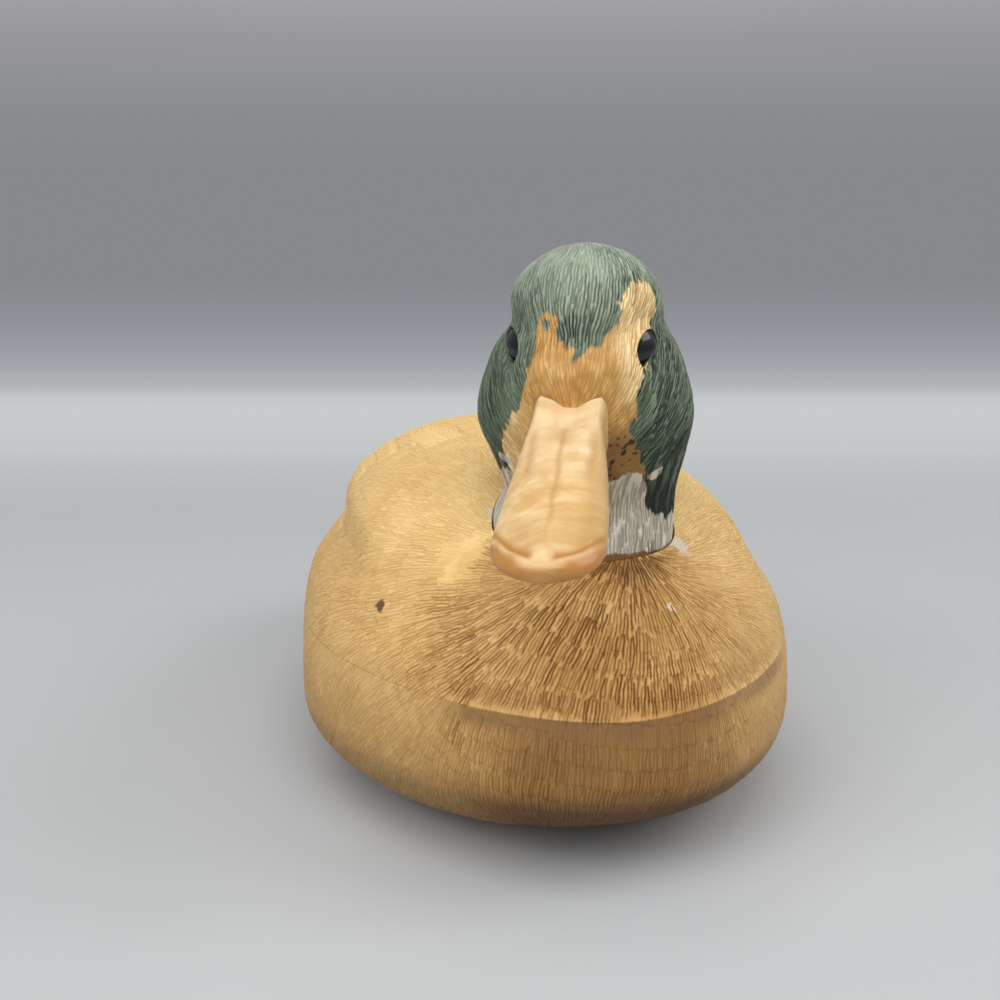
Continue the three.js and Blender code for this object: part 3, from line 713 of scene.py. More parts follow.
def carve_back_feathers(skin):
    """Tail, rump, wings and shoulders, in that order: longer feathers, each with a shaft."""
    rows = np.arange(0, 2 * UPPER_ROWS - 2, SEARCH_STRIDE)
    columns = np.arange(0, skin.columns, SEARCH_STRIDE)
    grid = skin.points[np.ix_(rows, columns)].reshape(-1, 3)
    row_of, column_of = np.repeat(rows, len(columns)), np.tile(columns, len(rows))
    high = grid[:, 2] > seam_height + 4

    def feather(x, y, heading, length, width, tip):
        nearest = int(np.argmin(np.where(high, np.hypot(grid[:, 0] - x, grid[:, 1] - y), FAR)))
        row, column = row_of[nearest], column_of[nearest]
        look = {
            **RAISED_FEATHER, "tip": tip, "barbs": rng.uniform(0.4, 0.65),
            "pitch": rng.uniform(0.95, 1.2), "phase": rng.uniform(0, 6), "tint": rng.uniform(-1, 1)}
        heading = np.array([math.sin(heading), math.cos(heading), -0.15])
        lay_feather(skin, row, column, heading, length, width, look)

    for place in range(-5, 6):
        spread = place / 5
        feather(15.5 * spread, 76 - 3 * abs(spread), 0.16 * spread, 24 - 2.5 * abs(spread), 7.0, 0.35)
    for y in (78, 72, 66, 60):
        for place in range(-3, 4):
            feather(place * 6.0 + rng.normal(0, 0.5), y, 0.06 * place, 12, 8, 0.6)
    for side in (-1, 1):
        for step in range(6):
            x, heading = side * (17 - 1.2 * step), -side * (0.26 - 0.01 * step)
            feather(x, 42 - 2.2 * step, heading, 36 - 3.0 * step, 6.0, 0.7)
    for side in (-1, 1):
        for row_at, count in ((46, 4), (36, 5), (26, 5)):
            for place in range(count):
                x, heading = side * (38 - 5.2 * place), -side * (0.22 - 0.03 * place)
                feather(x, row_at - 2 * place, heading, 18, 7.5, 0.5)
    for y, count, length in ((40, 3, 20), (30, 4, 17), (21, 4, 15), (12, 5, 13)):
        for place in range(count):
            x = (place - (count - 1) / 2) * 8.6
            feather(x + rng.normal(0, 0.4), y - 0.06 * abs(x), 0.05 * x / 8, length, 9.0, 0.6)


def spot(points, centre, size):
    """A soft patch round a point, as wide each way as its size."""
    return bump(np.linalg.norm((points - np.array(centre)) / np.array(size), axis=-1), 1)


def body_masks(skin):
    points = skin.points
    z = points[..., 2]
    around = azimuth_of(points, neck_axis)
    hair = noise_b(points, 0.7) * 0.6 + noise_a(points, 1.6) * 0.5
    white = np.maximum.reduce([
        spot(points, (15.5, -51.0, 56.0), (5.0, 3.4, 3.0)),
        0.9 * spot(points, (10.8, -63.5, 48.5), (1.7, 1.4, 1.2)),
        0.8 * spot(points, (-15.6, -37.0, 60.0), (1.8, 4.5, 2.5)),
    ])
    ink = spot(points, (-36.6, -38.4, 43.6), (1.7, 1.8, 1.5))
    scorch = spot(points, (4.5, -59.5, 53.0), (3.4, 2.4, 1.8))
    share = (burn_share(points) - LEAST_BURN) / (1 - LEAST_BURN)
    middle = stretch(around, -62, -12, 8, 56)
    below = smoothstep(seam_height - z, -0.15, 0.15)
    falling = 0.75 * smoothstep(seam_height - z, -10, 24)
    # How strongly the painted shade along the bottom shows round the body: most at the front.
    bottom_shade_around = 0.25 + 0.75 * stretch(around, -70, -30, 40, 90)
    return {
        "burn": np.clip(skin.burn, 0, 1.2),
        "tint": skin.tint,
        "tone": 0.5 * noise_a(points, 14.0) + 0.3 * noise_b(points, 5.0),
        "burned": np.clip(share * (0.85 + 0.3 * noise_c(points, 8.0)), 0, 1.2),
        "flank": smoothstep(z, 58, 44) * (1 - np.clip(share, 0, 1)),
        "under": falling + (below - falling) * middle,
        # edge: painted shade along the bottom, darker where the body turns under towards the floor.
        "edge": smoothstep(z, 19.5, 14.5) * bottom_shade_around,
        "white": smoothstep(white + 0.3 * hair - 0.35 * skin.burn, 0.4, 0.62),
        "ink": np.clip(smoothstep(ink + 0.4 * hair, 0.5, 0.7) + 0.75 * scorch * (0.7 + hair), 0, 1),
        "smear": skin.smear,
    }


def build_body():
    skin, seam_row = body_skin()
    carve_body(skin, seam_row)
    masks = body_masks(skin)
    points = within_box(skin.displaced(GROOVE_DEPTH))
    points[..., 2] = np.maximum(points[..., 2], 0)
    points[seam_row, :, 2] = seam_height
    upper = points[:seam_row + 1]
    rim = upper[0]
    inner = np.stack([rim.copy(), rim.copy()])
    inner[0, :, 2] = NECK_SEAT
    inner[1, :, 2] = NECK_SEAT + (rim[:, 2] - NECK_SEAT) * 0.6
    upper = np.concatenate([inner, upper])
    upper_masks = {
        key: np.concatenate([value[:1], value[:1], value[:seam_row + 1]])
        for key, value in masks.items()}
    centre_top = np.array([neck_axis[0], neck_axis[1], NECK_SEAT])
    seam_centre = np.array([neck_axis[0], neck_axis[1] + 20, seam_height])
    body_upper = object_from_grid("body_upper_carved", upper, upper_masks, centre_top, seam_centre)
    lower = points[seam_row:]
    lower_masks = {key: value[seam_row:] for key, value in masks.items()}
    centre_low = np.array([neck_axis[0], neck_axis[1], 0.0])
    body_lower = object_from_grid("body_lower_carved", lower, lower_masks, seam_centre, centre_low)
    return body_upper, body_lower


# Head skin

HEAD_ROWS = 230
HEAD_COLUMNS = 400
HEAD_MIDDLE = 40.0
HAIR_GAP = 3.4
HAIR_STROKES = (0.58, 6.2, 0.2)
LID_RISE = 0.22
EYE_HOLE_DEPTH = 2.6
OPENING_LEAN = 0.34
OPENING_HALF_WIDTH = 2.45
OPENING_HALF_HEIGHT = 2.5
FOOT_DRAWN_IN = 2.6
MM_PER_DEGREE = math.radians(19)


def head_skin():
    levels = np.concatenate([
        np.linspace(0, CROWN_STARTS_AT, 260)[:-1],
        CROWN_STARTS_AT + CROWN_DOME * np.sin(np.linspace(0, np.pi / 2 - 0.004, 120)),
    ])
    turns = -np.pi / 2 + np.linspace(0, 2 * np.pi, HEAD_COLUMNS + 1)[:-1]
    dense = head_points(levels[:, None], turns[None])
    grid = np.stack([respaced(line, HEAD_ROWS) for line in np.moveaxis(dense, 1, 0)], 1)
    normal = faced(normals_of(grid), grid - np.array([0, 0, HEAD_MIDDLE]))
    return Skin(doubled(grid), doubled(normal))


def lay_head_flow(skin):
    """Runs the hair lines up and back over the head from the bill, and down the nape."""
    away = skin.points - np.array([0.0, -30.0, 33.0])
    reach = np.linalg.norm(away, axis=-1)
    forward = 0.6 * away / reach[..., None] + np.array([0.0, 0.5, 0.85])
    skin.nape = smoothstep(skin.points[..., 1], 6, 20)
    nape = skin.nape[..., None]
    neck = smoothstep(skin.points[..., 2], 29, 22)[..., None]
    forward = forward * (1 - neck) + np.array([0.0, 0.0, 1.0]) * neck
    skin.set_flow(reach, forward * (1 - nape) + np.array([0.0, 0.4, -1.0]) * nape)


def eye_frame(side):
    """An eye's centre on the face, and its directions outward, back and up."""
    fullness = float(front_fullness(EYE_HEIGHT))
    share = EYE_FORWARD / float(head_front(EYE_HEIGHT))
    across = (1 - share**fullness) ** (1 / fullness)
    reach = (float(head_half_width(EYE_HEIGHT)) + float(face_relief(-EYE_FORWARD, EYE_HEIGHT))) * across
    outward = np.array([
        side * math.sin(math.radians(EYE_OUTWARD)), -math.cos(math.radians(EYE_OUTWARD)),
        math.tan(math.radians(EYE_RISE))])
    outward /= np.linalg.norm(outward)
    back = np.cross([0, 0, 1.0], outward) * side
    back /= np.linalg.norm(back)
    up = np.cross(outward, back) * side
    return np.array([side * reach, -EYE_FORWARD, EYE_HEIGHT - EYE_SETTLED]), outward, back, up


def carve_head(skin):
    """Cuts the hair lines: long rows up the face and cheeks, and rows down the nape."""
    points = skin.points
    z = points[..., 2]
    lay_head_flow(skin)
    near_bill = bump(np.linalg.norm(points - np.array([0, -23, 34]), axis=-1), 12)
    strength = (1.0 - 0.45 * near_bill) * smoothstep(z, 1.0, 4.0)
    strength *= np.clip(0.9 + 0.35 * noise_b(points, 5.0), 0.3, 1.2)
    wavy = skin.field + 0.8 * noise_a(points, 2.5) + 0.5 * noise_b(points, 1.1)
    lean = 0.14 * noise_c(points, 6.0)
    around = azimuth_of(points)
    strength *= (1 + 0.3 * smoothstep(around, 20, 55)) * (1 - 0.45 * smoothstep(z, 54, 61))
    face = strength * (1 - skin.nape)
    comb(skin, wavy, 3.0, 90.0, HAIR_GAP, *HAIR_STROKES, face, face, lean)
    back = strength * skin.nape
    comb(skin, wavy - skin.field - z, -62.0, -2.0, HAIR_GAP, *HAIR_STROKES, back, back, lean)
    skin.lift += 0.04 * noise_a(points, 4.0) + 0.03 * noise_b(points, 0.9) + 0.05 * noise_c(points, 1.8)


def carve_eye_openings(skin):
    """Sinks a hole for each eye, with a thin raised lid round it."""
    points = skin.points
    for side in (-1, 1):
        centre, outward, back, up = eye_frame(side)
        offset = points - centre
        u, v, out = offset @ back, offset @ up, offset @ outward
        lean = u - OPENING_LEAN * v + 0.8 * (out + 0.3)
        narrow = np.maximum(OPENING_HALF_WIDTH + 0.12 * v, 1.2)
        opening = np.hypot(lean / narrow, (v - 0.1) / OPENING_HALF_HEIGHT)
        opening = np.maximum(opening, np.hypot(u, v) / (EYE_VISIBLE - 0.55))
        inside = (np.hypot(u, v) < 9) & (out > -6) & (out < 4)
        hole = smoothstep(opening, 1.04, 0.92)
        level = -out / np.maximum((skin.normals @ outward), 0.3)
        settled = smoothstep(opening, 2.1, 1.0) * 0.8 * (level + 0.1)
        ridge = LID_RISE * bump(opening - 1.16, 0.13)
        lift = skin.lift * smoothstep(opening, 1.0, 1.4) + settled * (1 - hole) + ridge
        skin.lift = np.where(inside, lift + (level - EYE_HOLE_DEPTH) * hole, skin.lift)
        skin.groove = np.where(inside, skin.groove * smoothstep(opening, 1.05, 1.4), skin.groove)
        skin.lid = np.where(inside, np.maximum(skin.lid, smoothstep(opening, 1.14, 1.02)), skin.lid)


BARE_OUTLINE = [
    (0, 44.3), (-1, 46.4), (-5, 47.4), (-7.7, 47.6), (-8.5, 50.0), (-12, 51.6), (-17.4, 51.9),
    (-22, 50.6), (-23, 48.3), (-21.5, 46.4), (-20, 44), (-20.3, 41.5), (-23, 39.3), (-25, 37.4),
    (-26, 35.8), (-32, 35.2), (-36.6, 33.4), (-42.6, 31), (-46.6, 28.3), (-43.5, 26.4),
    (-38, 23.0), (0, 19.0), (20, 20.0), (42.0, 22.0), (44.0, 24.5), (40.1, 26.6), (35.6, 28.4),
    (32, 30.5), (28, 32.3), (30.2, 34.8), (31.5, 37.0), (33.3, 40.3), (38, 42.2), (44.5, 42.6),
    (49, 45.4), (55, 48.2), (63, 49.8), (72, 50.2), (75, 51.2), (72.4, 53.2), (69, 55.0),
    (61, 56.6), (40.6, 56.5), (30, 55.2), (24.8, 53.4), (27.5, 52.0), (25, 50.4), (20, 49.2),
    (14.5, 48.3), (11, 47.0), (6, 46.3), (2.3, 45.4),
]
WHITE_TOP = curve_through([
    (-180, 17), (-130, 18.5), (-105, 20.5), (-85, 22), (-72, 22.8), (-58, 23.5), (-45, 24.5),
    (0, 24.0), (20, 24.2), (34, 25.3), (40, 24.4), (45, 22.0), (47, 18.5), (52, 17.0),
    (60, 16.2), (90, 15.6), (130, 16), (180, 16),
])


def outline_distance(x, z, outline):
    """Signed distance to a closed outline, above zero inside it."""
    corners = np.array(outline, float)
    inside = np.zeros(x.shape, bool)
    nearest = np.full(x.shape, FAR)
    for (ax, az), (bx, bz) in zip(corners, np.roll(corners, -1, 0)):
        dx, dz = bx - ax, bz - az
        share = np.clip(((x - ax) * dx + (z - az) * dz) / max(dx * dx + dz * dz, 1e-9), 0, 1)
        nearest = np.minimum(nearest, np.hypot(x - ax - share * dx, z - az - share * dz))
        crosses = (az > z) != (bz > z)
        at = ax + (z - az) * dx / (dz if abs(dz) > 1e-9 else 1e-9)
        inside ^= crosses & (x < at)
    return np.where(inside, nearest, -nearest)


def head_masks(skin):
    """Where the head is bare wood, white, specked or green, by the direction round the neck."""
    points = skin.points
    z = points[..., 2]
    around = azimuth_of(points)
    across = around * MM_PER_DEGREE
    outline = [(angle * MM_PER_DEGREE, height) for angle, height in BARE_OUTLINE]
    distance = outline_distance(across, z, outline)
    streak = np.stack([across, np.zeros_like(z), z * 0.45], -1)
    ragged = 0.55 * noise_a(streak, 0.55) + 0.5 * noise_b(streak, 1.3)
    bare = smoothstep(distance + ragged, -0.25, 0.35)
    ring = np.hypot(across + 5.2, z - 50.0) + 0.3 * noise_b(points, 0.6)
    bare = np.maximum(bare, 0.6 * smoothstep(2.1 - ring, 0, 0.3)) * smoothstep(ring, 0.8, 1.15)
    speck = smoothstep(noise_c(points, 0.62) + 0.3 * noise_a(points, 2.4), 0.3, 0.6)
    throat = smoothstep(z, 35, 30) * bare * smoothstep(around, 0, 20)
    edge_of_white = WHITE_TOP(around) - z
    torn = ragged + 1.1 * noise_c(streak, 1.9) * smoothstep(around, 25, 45)
    white = smoothstep(edge_of_white + 0.7 * torn, -0.2, 0.35)
    sliver = bump(np.hypot((around + 44) / 9, (z - 26.3 + 0.06 * (around + 44)) / 0.8), 1)
    spot = bump(np.hypot((around - 52) / 8, (z - 24.3 - 0.07 * (around - 52)) / 0.9), 1)
    white = np.maximum(white, smoothstep(np.maximum(sliver, spot) * (1 + 0.7 * torn), 0.42, 0.6))
    rim_top = 10.2 + 0.5 * noise_a(streak, 3.0) + 0.5 * ragged
    rim = smoothstep(rim_top - z, -0.2, 0.3) * bump((around - 38) / 34, 1)
    pale = smoothstep(around, 17, 29) * smoothstep(z, 35, 41)
    return {
        "groove": np.clip(skin.burn, 0, 1.3),
        "bare": bare * (1 - skin.lid),
        "white": white * (1 - rim),
        "rim": rim,
        "speck": speck * throat,
        "throat": throat,
        "lid": skin.lid,
        "height": z / HEAD_HEIGHT + 0.03 * noise_b(points, 4.0),
        "pale": pale + 0.5 * smoothstep(around, -18, -34) * smoothstep(z, 44, 38),
        "streak": 0.5 + 0.5 * ragged,
    }


def build_head():
    skin = head_skin()
    carve_head(skin)
    carve_eye_openings(skin)
    z = skin.points[..., 2]
    skin.lift = skin.lift * smoothstep(z, 4.0, 9.0)
    around = azimuth_of(skin.points)
    foot = 13 + 0.1 * np.maximum(-around - 80, 0)
    drawn_in = smoothstep(z, 32, 20) * smoothstep(z - foot, 0, 5) * bump(around + 88, 34)
    skin.lift -= FOOT_DRAWN_IN * drawn_in
    masks = head_masks(skin)
    points = within_box(place_on_neck(skin.displaced(GROOVE_DEPTH)))
    top = place_on_neck(np.array([0, 0, HEAD_HEIGHT - 0.02]))
    foot = place_on_neck(np.array([0, 0, 0.0]))
    return object_from_grid("head_carved", points, masks, foot, top)


# Bill

BILL_ROWS = 150
BILL_COLUMNS = 130
BILL_SKIN_STARTS = BILL_BURIED - 5.5
CRESCENT_AT = 45.2
CRESCENT_BEND = 0.125
NOSTRIL_OUT = 4.9


def past_crescent(x, along):
    """How far a point lies past the curved line in front of the nail."""
    return along - (CRESCENT_AT - CRESCENT_BEND * x * x)


def bill_points(along, turn):
    """The bill's skin in its own frame, with its carved dish, groove, nail and nostrils."""
    rounding = rounded_start((BILL_END - along) / BILL_TIP_ROUNDING, BILL_FULLNESS)
    spoon = smoothstep(along, BILL_BURIED + 10, BILL_SPOON_AT)
    fullness = BILL_FULLNESS + 2.2 * smoothstep(along, BILL_BURIED + 12, BILL_BURIED)
    side = ring_coordinate(np.cos(turn), fullness)
    x = bill_half_width(along) * rounding * side
    height = np.where(np.sin(turn) > 0, bill_top(along), bill_under(along))
    z = height * np.sqrt(rounding) * ring_coordinate(np.sin(turn), fullness)
    z = z - BILL_EDGE_DROP * spoon * (side * rounding) ** 2
    out, past = np.abs(x), past_crescent(x, along)
    beside_nail = smoothstep(out, 0.9, 2.0)
    root = 0.4 * bump(out - 5.2, 0.8) - 0.45 - 2.5 * np.clip(1 - out / 5.0, 0, 1)
    groove = -0.32 * bump(x, 0.55)
    dish = -0.55 * bump(out - 3.6, 2.6)
    crescent = -0.42 * bump(past + 0.9, 0.85) * beside_nail * smoothstep(out, 7.6, 6.4)
    lip = 0.4 * bump(past - 0.7, 0.8) * beside_nail * smoothstep(out, 7.8, 6.8)
    nail = 0.45 * bump(x, 1.5)
    nostril = -0.55 * bump(out - NOSTRIL_OUT, 0.75)
    ripple = 0.11 * np.sin(along * 1.55 + 0.6 * np.sin(x * 0.5)) * smoothstep(out, 5.5, 3.5)
    carved = (
        root * smoothstep(along, BILL_BURIED + 9, BILL_BURIED)
        + groove * stretch(along, BILL_BURIED - 1, BILL_BURIED + 3, 34.0, 40.0)
        + dish * stretch(along, 26, 36, 41.0, 43.5) + crescent + lip * smoothstep(along, 45.6, 44.2)
        + nail * stretch(along, 40.5, 43.0, 43.8, 45.2) + nostril * stretch(along, 10.5, 14, 22, 26.5)
        + ripple * stretch(along, 9, 12, 28, 34))
    up = np.clip(ring_coordinate(np.sin(turn), BILL_FULLNESS), 0, 1)
    return np.stack([x, -along + 0 * turn, z + up * carved], -1)


def bill_skin():
    share = np.linspace(0, 1, BILL_ROWS)
    along = BILL_SKIN_STARTS + (BILL_END - BILL_SKIN_STARTS) * np.sin(share * np.pi / 2) ** 0.92
    along = np.minimum(along, BILL_END - 0.00001)
    turns = np.linspace(0, 2 * np.pi, BILL_COLUMNS + 1)[:-1]
    grid = bill_points(along[:, None], turns[None])
    normal = normals_of(grid)
    normal = faced(normal, grid * np.array([1, 0, 1]))
    return Skin(doubled(grid), doubled(normal))


def build_bill():
    skin = bill_skin()
    points = skin.points
    x, along = points[..., 0], -points[..., 1]
    skin.lift = 0.05 * noise_a(points, 3.5) + 0.018 * noise_b(points, 0.9)
    up = smoothstep(skin.normals[..., 2], 0.1, 0.7)
    out, past = np.abs(x), past_crescent(x, along)
    amber = np.maximum.reduce([
        bump(past + 0.9, 1.0) * smoothstep(out, 0.9, 2.2) * up, smoothstep(past, 0.6, 1.9),
        0.45 * bump(out - NOSTRIL_OUT, 0.8) * stretch(along, 11, 15, 21, 26) * up,
    ])
    line = bump(x + 0.15 * np.sin(along * 0.7), 0.42) * stretch(along, 9, 13, 30, 43) * up
    root = bump(np.hypot(x + 0.6, (along - 14.5) * 0.7), 2.0) * up
    lobe = 0.4 * bump(np.hypot(out - 4.0, (along - 38.0) * 0.45), 1.9) * up
    # Painted shade where the bill faces sideways or down.
    side = 1 - smoothstep(skin.normals[..., 2], -0.2, 0.45)
    masks = {
        "amber": np.clip(amber, 0, 1),
        "line": np.clip(0.8 * line + 0.6 * root + lobe, 0, 1),
        # side: painted shade on the sides facing down and along the bill's +X side.
        "side": np.maximum(side, 0.85 * smoothstep(x, 3.4, 6.4)),
        # pale: a painted highlight on the top of the bill near its root.
        "pale": up * smoothstep(along, 30, 10) * np.clip(0.7 + 0.5 * noise_a(points, 3), 0, 1),
    }
    placed = within_box(place_bill(skin.displaced(0)))
    root_centre = place_bill(np.array([0, -BILL_SKIN_STARTS, 0.5]))
    tip_centre = placed[-1].mean(0)
    return object_from_grid("bill_carved", placed, masks, root_centre, tip_centre)


# Eyes

GLASS_BACK = -2.9
GLASS_APEX = 0.3
GLASS_DOME = 1.6
GLASS_TILT = 0.2
EYE_COLUMNS = 96
PUTTY_COLUMNS = 72
PUTTY_BOTTOM = -2.6
PUTTY_TOP = -2.15


def turned_grid(profile, columns, origin, axis, across, up):
    """A solid of revolution from [radius, height] points, as a grid round an axis."""
    turn = np.linspace(0, 2 * np.pi, columns + 1)[:-1]
    profile = np.array(profile, float)
    radius, height = profile[:, 0][:, None], profile[:, 1][:, None]
    ring = (radius * np.cos(turn))[..., None] * across + (radius * np.sin(turn))[..., None] * up
    return origin + height[..., None] * axis + ring


def build_eye(side, name):
    centre, outward, back, up = eye_frame(side)
    profile = [(EYE_VISIBLE - 0.2, GLASS_BACK), (EYE_VISIBLE, GLASS_BACK + 0.3)]
    for angle in np.linspace(0, np.pi / 2 - 0.02, 40):
        level = GLASS_APEX - GLASS_DOME * (1 - math.sin(angle))
        profile.append((EYE_VISIBLE * math.cos(angle), level))
    grid = turned_grid(profile, EYE_COLUMNS, centre, outward, back, up * side)
    grid += GLASS_TILT * ((grid - centre) @ back)[..., None] * outward
    radius = np.repeat(np.array(profile)[:, :1], EYE_COLUMNS, 1) / EYE_VISIBLE
    deep = place_on_neck(centre + GLASS_BACK * outward)
    apex = place_on_neck(centre + GLASS_APEX * outward)
    return object_from_grid(name, place_on_neck(grid), {"radius": radius}, deep, apex)


def build_putty(side, name):
    centre, outward, back, up = eye_frame(side)
    inner, outer = EYE_VISIBLE + 0.05, EYE_VISIBLE + 0.9
    middle, half = (inner + outer) / 2, (outer - inner) / 2
    profile = [(inner, PUTTY_BOTTOM), (outer, PUTTY_BOTTOM), (outer, PUTTY_TOP)]
    for angle in np.linspace(0.1, np.pi - 0.1, 16):
        profile.append((middle + half * math.cos(angle), PUTTY_TOP + 0.35 * math.sin(angle)))
    profile += [(inner, PUTTY_TOP - 0.05), profile[0]]
    grid = turned_grid(profile, PUTTY_COLUMNS, centre, outward, back, up * side)
    grid += 0.04 * noise_b(grid, 0.7)[..., None] * outward
    grid[-1] = grid[0]
    return object_from_grid(name, place_on_neck(grid), {})


# Materials

# Green paint by height on the head, partly its own tone and partly painted light and shade: pale
# towards the crown, dark down the cheeks and neck.
HEAD_GREEN_WITH_PAINTED_LIGHT = [
    (0.18, (8, 12, 7)), (0.33, (14, 20, 12)), (0.42, (72, 84, 60)), (0.55, (112, 128, 102)),
    (0.70, (118, 132, 108)), (0.80, (142, 156, 133)), (0.93, (168, 182, 160)),
]


def srgb(red, green, blue):
    def linear(value):
        value /= 255
        return value / 12.92 if value <= 0.04045 else ((value + 0.055) / 1.055) ** 2.4

    return (linear(red), linear(green), linear(blue), 1)


class Wiring:
    """Nodes of one tree, wired by their values. A value is a socket or a plain number or colour."""

    def __init__(self, tree, coordinates):
        self.tree = tree
        self.place = self.add("TexCoord").outputs[coordinates]

    def link(self, value, socket):
        if isinstance(value, bpy.types.NodeSocket):
            self.tree.links.new(value, socket)
        else:
            socket.default_value = value

    def add(self, kind, inputs=(), **settings):
        node = self.tree.nodes.new("ShaderNode" + kind)
        for name, value in settings.items():
            setattr(node, name, value)
        for name, value in dict(inputs).items():
            self.link(value, node.inputs[name])
        return node

    def value(self, name):
        return self.add("Attribute", attribute_name=name).outputs["Fac"]

    def math(self, kind, a, b=0.0):
        return self.add("Math", {0: a, 1: b}, operation=kind).outputs[0]

    def spread(self, value, low, high, to_low=0.0, to_high=1.0):
        ends = {"From Min": low, "From Max": high, "To Min": to_low, "To Max": to_high}
        return self.add("MapRange", {"Value": value, **ends}).outputs["Result"]

    def mix(self, share, a, b):
        return self.add(
            "Mix", {"Factor": share, 6: a, 7: b}, data_type="RGBA", clamp_factor=True).outputs[2]

    def between(self, value, low, high, first, second):
        """Goes from one tone to another as a value goes from low to high."""
        return self.mix(self.spread(value, low, high), srgb(*first), srgb(*second))

    def stain(self, color, where, tone, strength=1.0):
        """Lays a tone over a colour, where a mask or a value says so."""
        share = self.value(where) if isinstance(where, str) else where
        return self.mix(self.math("MULTIPLY", share, strength), color, srgb(*tone))

    def ramp(self, value, stops):
        """Tones along a value, at places between 0 and the last stop."""
        last = stops[-1][0]
        node = self.add("ValToRGB", {"Fac": self.spread(value, 0, last)})
        elements = node.color_ramp.elements
        while len(elements) < len(stops):
            elements.new(1.0)
        for element, (place, tone) in zip(elements, stops):
            element.position = place / last
            element.color = srgb(*tone)
        return node.outputs["Color"]

    def seen_directly(self):
        """1 for what the camera, a gloss or a glass sees."""
        rays = self.add("LightPath").outputs
        gloss_or_glass = self.math("MAXIMUM", rays["Is Glossy Ray"], rays["Is Transmission Ray"])
        return self.math("MAXIMUM", rays["Is Camera Ray"], gloss_or_glass)


class Shader(Wiring):
    """One material."""

    def __init__(self, name):
        self.material = bpy.data.materials.new(name)
        self.material.use_nodes = True
        super().__init__(self.material.node_tree, "Object")
        self.surface = self.tree.nodes["Principled BSDF"]

    def noise(self, scale, detail=4.0, stretch=(1, 1, 1), roughness=0.6):
        mapping = self.add("Mapping", {"Vector": self.place, "Scale": stretch})
        return self.add("TexNoise", {
            "Vector": mapping.outputs[0], "Scale": scale, "Detail": detail, "Roughness": roughness,
        }).outputs["Fac"]

    def finish(self, color, roughness, relief=None, strength=0.3, distance=0.0002, **sockets):
        self.link(color, self.surface.inputs["Base Color"])
        self.link(roughness, self.surface.inputs["Roughness"])
        if relief is not None:
            node = self.add("Bump", {"Strength": strength, "Distance": distance, "Height": relief})
            self.link(node.outputs[0], self.surface.inputs["Normal"])
        for name, value in sockets.items():
            self.surface.inputs[name.replace("_", " ")].default_value = value
        return self.material


def burned_wood_material():
    shader = Shader("burned_wood")
    burn = shader.value("burn")
    fine = shader.noise(1400.0)
    grain = shader.noise(260.0, 5.0, (1.0, 0.12, 1.0), 0.65)
    color = shader.between(shader.noise(55.0), 0.3, 0.7, (254, 220, 154), (245, 207, 137))
    color = shader.stain(color, shader.spread(grain, 0.4, 0.75), (212, 168, 102), 0.22)
    color = shader.stain(color, "flank", (217, 179, 115), 0.6)
    scorched = shader.between(fine, 0.3, 0.7, (193, 147, 79), (172, 124, 60))
    color = shader.mix(shader.math("MULTIPLY", shader.value("burned"), 0.9), color, scorched)
    color = shader.stain(color, "under", (130, 94, 52), 0.85)
    color = shader.stain(color, shader.spread(shader.value("tone"), -0.5, 0.5), (190, 138, 70), 0.12)
    color = shader.stain(color, shader.spread(shader.value("tint"), -1.0, 1.0), (170, 118, 56), 0.12)
    cut = shader.between(burn, 0.3, 1.1, (156, 108, 42), (104, 64, 14))
    cut = shader.stain(cut, "under", (104, 72, 36), 0.6)
    uneven = shader.spread(fine, 0.25, 0.75, 0.85, 1.15)
    color = shader.mix(shader.math("MULTIPLY", burn, uneven), color, cut)
    dirt = shader.spread(shader.noise(700.0, 3.0), 0.4, 0.65, 0.72, 1.0)
    # The edge tone is painted shade: a dark band along the bottom, where the body turns under towards
    # the floor.
    for mask, tone, strength in (
        ("smear", (120, 86, 52), 0.7), ("edge", (62, 34, 10), 0.65),
        ("white", (206, 196, 178), dirt), ("ink", (62, 38, 26), 0.85),
    ):
        color = shader.stain(color, mask, tone, strength)
    rough = shader.spread(shader.math("ADD", fine, burn), 0.3, 1.6, 0.42, 0.72)
    return shader.finish(
        color, rough, shader.math("ADD", fine, grain), 0.25, 0.00006, Specular_IOR_Level=0.3)


def painted_head_material():
    shader = Shader("painted_head")
    groove, streak, height = shader.value("groove"), shader.value("streak"), shader.value("height")
    fine, broad = shader.noise(1500.0), shader.noise(90.0)
    # Green paint with painted light and shade by height: paler up the crown, darker down the cheeks and
    # neck.
    paint = shader.ramp(height, HEAD_GREEN_WITH_PAINTED_LIGHT)
    paint = shader.stain(paint, shader.spread(fine, 0.45, 0.8), (150, 164, 142), 0.12)
    paint = shader.stain(paint, shader.spread(broad, 0.35, 0.7), (58, 74, 58), 0.25)
    paint = shader.stain(paint, groove, (20, 30, 18))
    wood = shader.between(streak, 0.2, 0.8, (182, 135, 67), (212, 171, 104))
    pale = shader.mix(streak, srgb(242, 210, 144), srgb(254, 232, 178))
    wood = shader.mix(shader.value("pale"), wood, pale)
    mottle = shader.between(broad, 0.35, 0.65, (86, 62, 32), (138, 104, 56))
    wood = shader.mix(shader.value("throat"), wood, mottle)
    wood = shader.stain(wood, groove, (138, 92, 36), 0.75)
    wood = shader.stain(wood, "speck", (46, 26, 14))
    white = shader.between(fine, 0.3, 0.75, (219, 212, 196), (195, 188, 171))
    white = shader.stain(white, groove, (92, 82, 68), 0.7)
    # Painted shade under the chin: the white darkens towards its top, below the bill.
    white = shader.stain(white, shader.spread(height, 0.24, 0.36), (134, 120, 94), 0.4)
    color = shader.mix(shader.value("bare"), paint, wood)
    color = shader.mix(shader.value("white"), color, white)
    color = shader.stain(color, "rim", (128, 84, 42))
    color = shader.stain(color, "lid", (36, 34, 26), 0.85)
    rough = shader.spread(shader.math("ADD", fine, groove), 0.3, 1.5, 0.38, 0.62)
    return shader.finish(color, rough, fine, 0.3, 0.00008, Specular_IOR_Level=0.3)


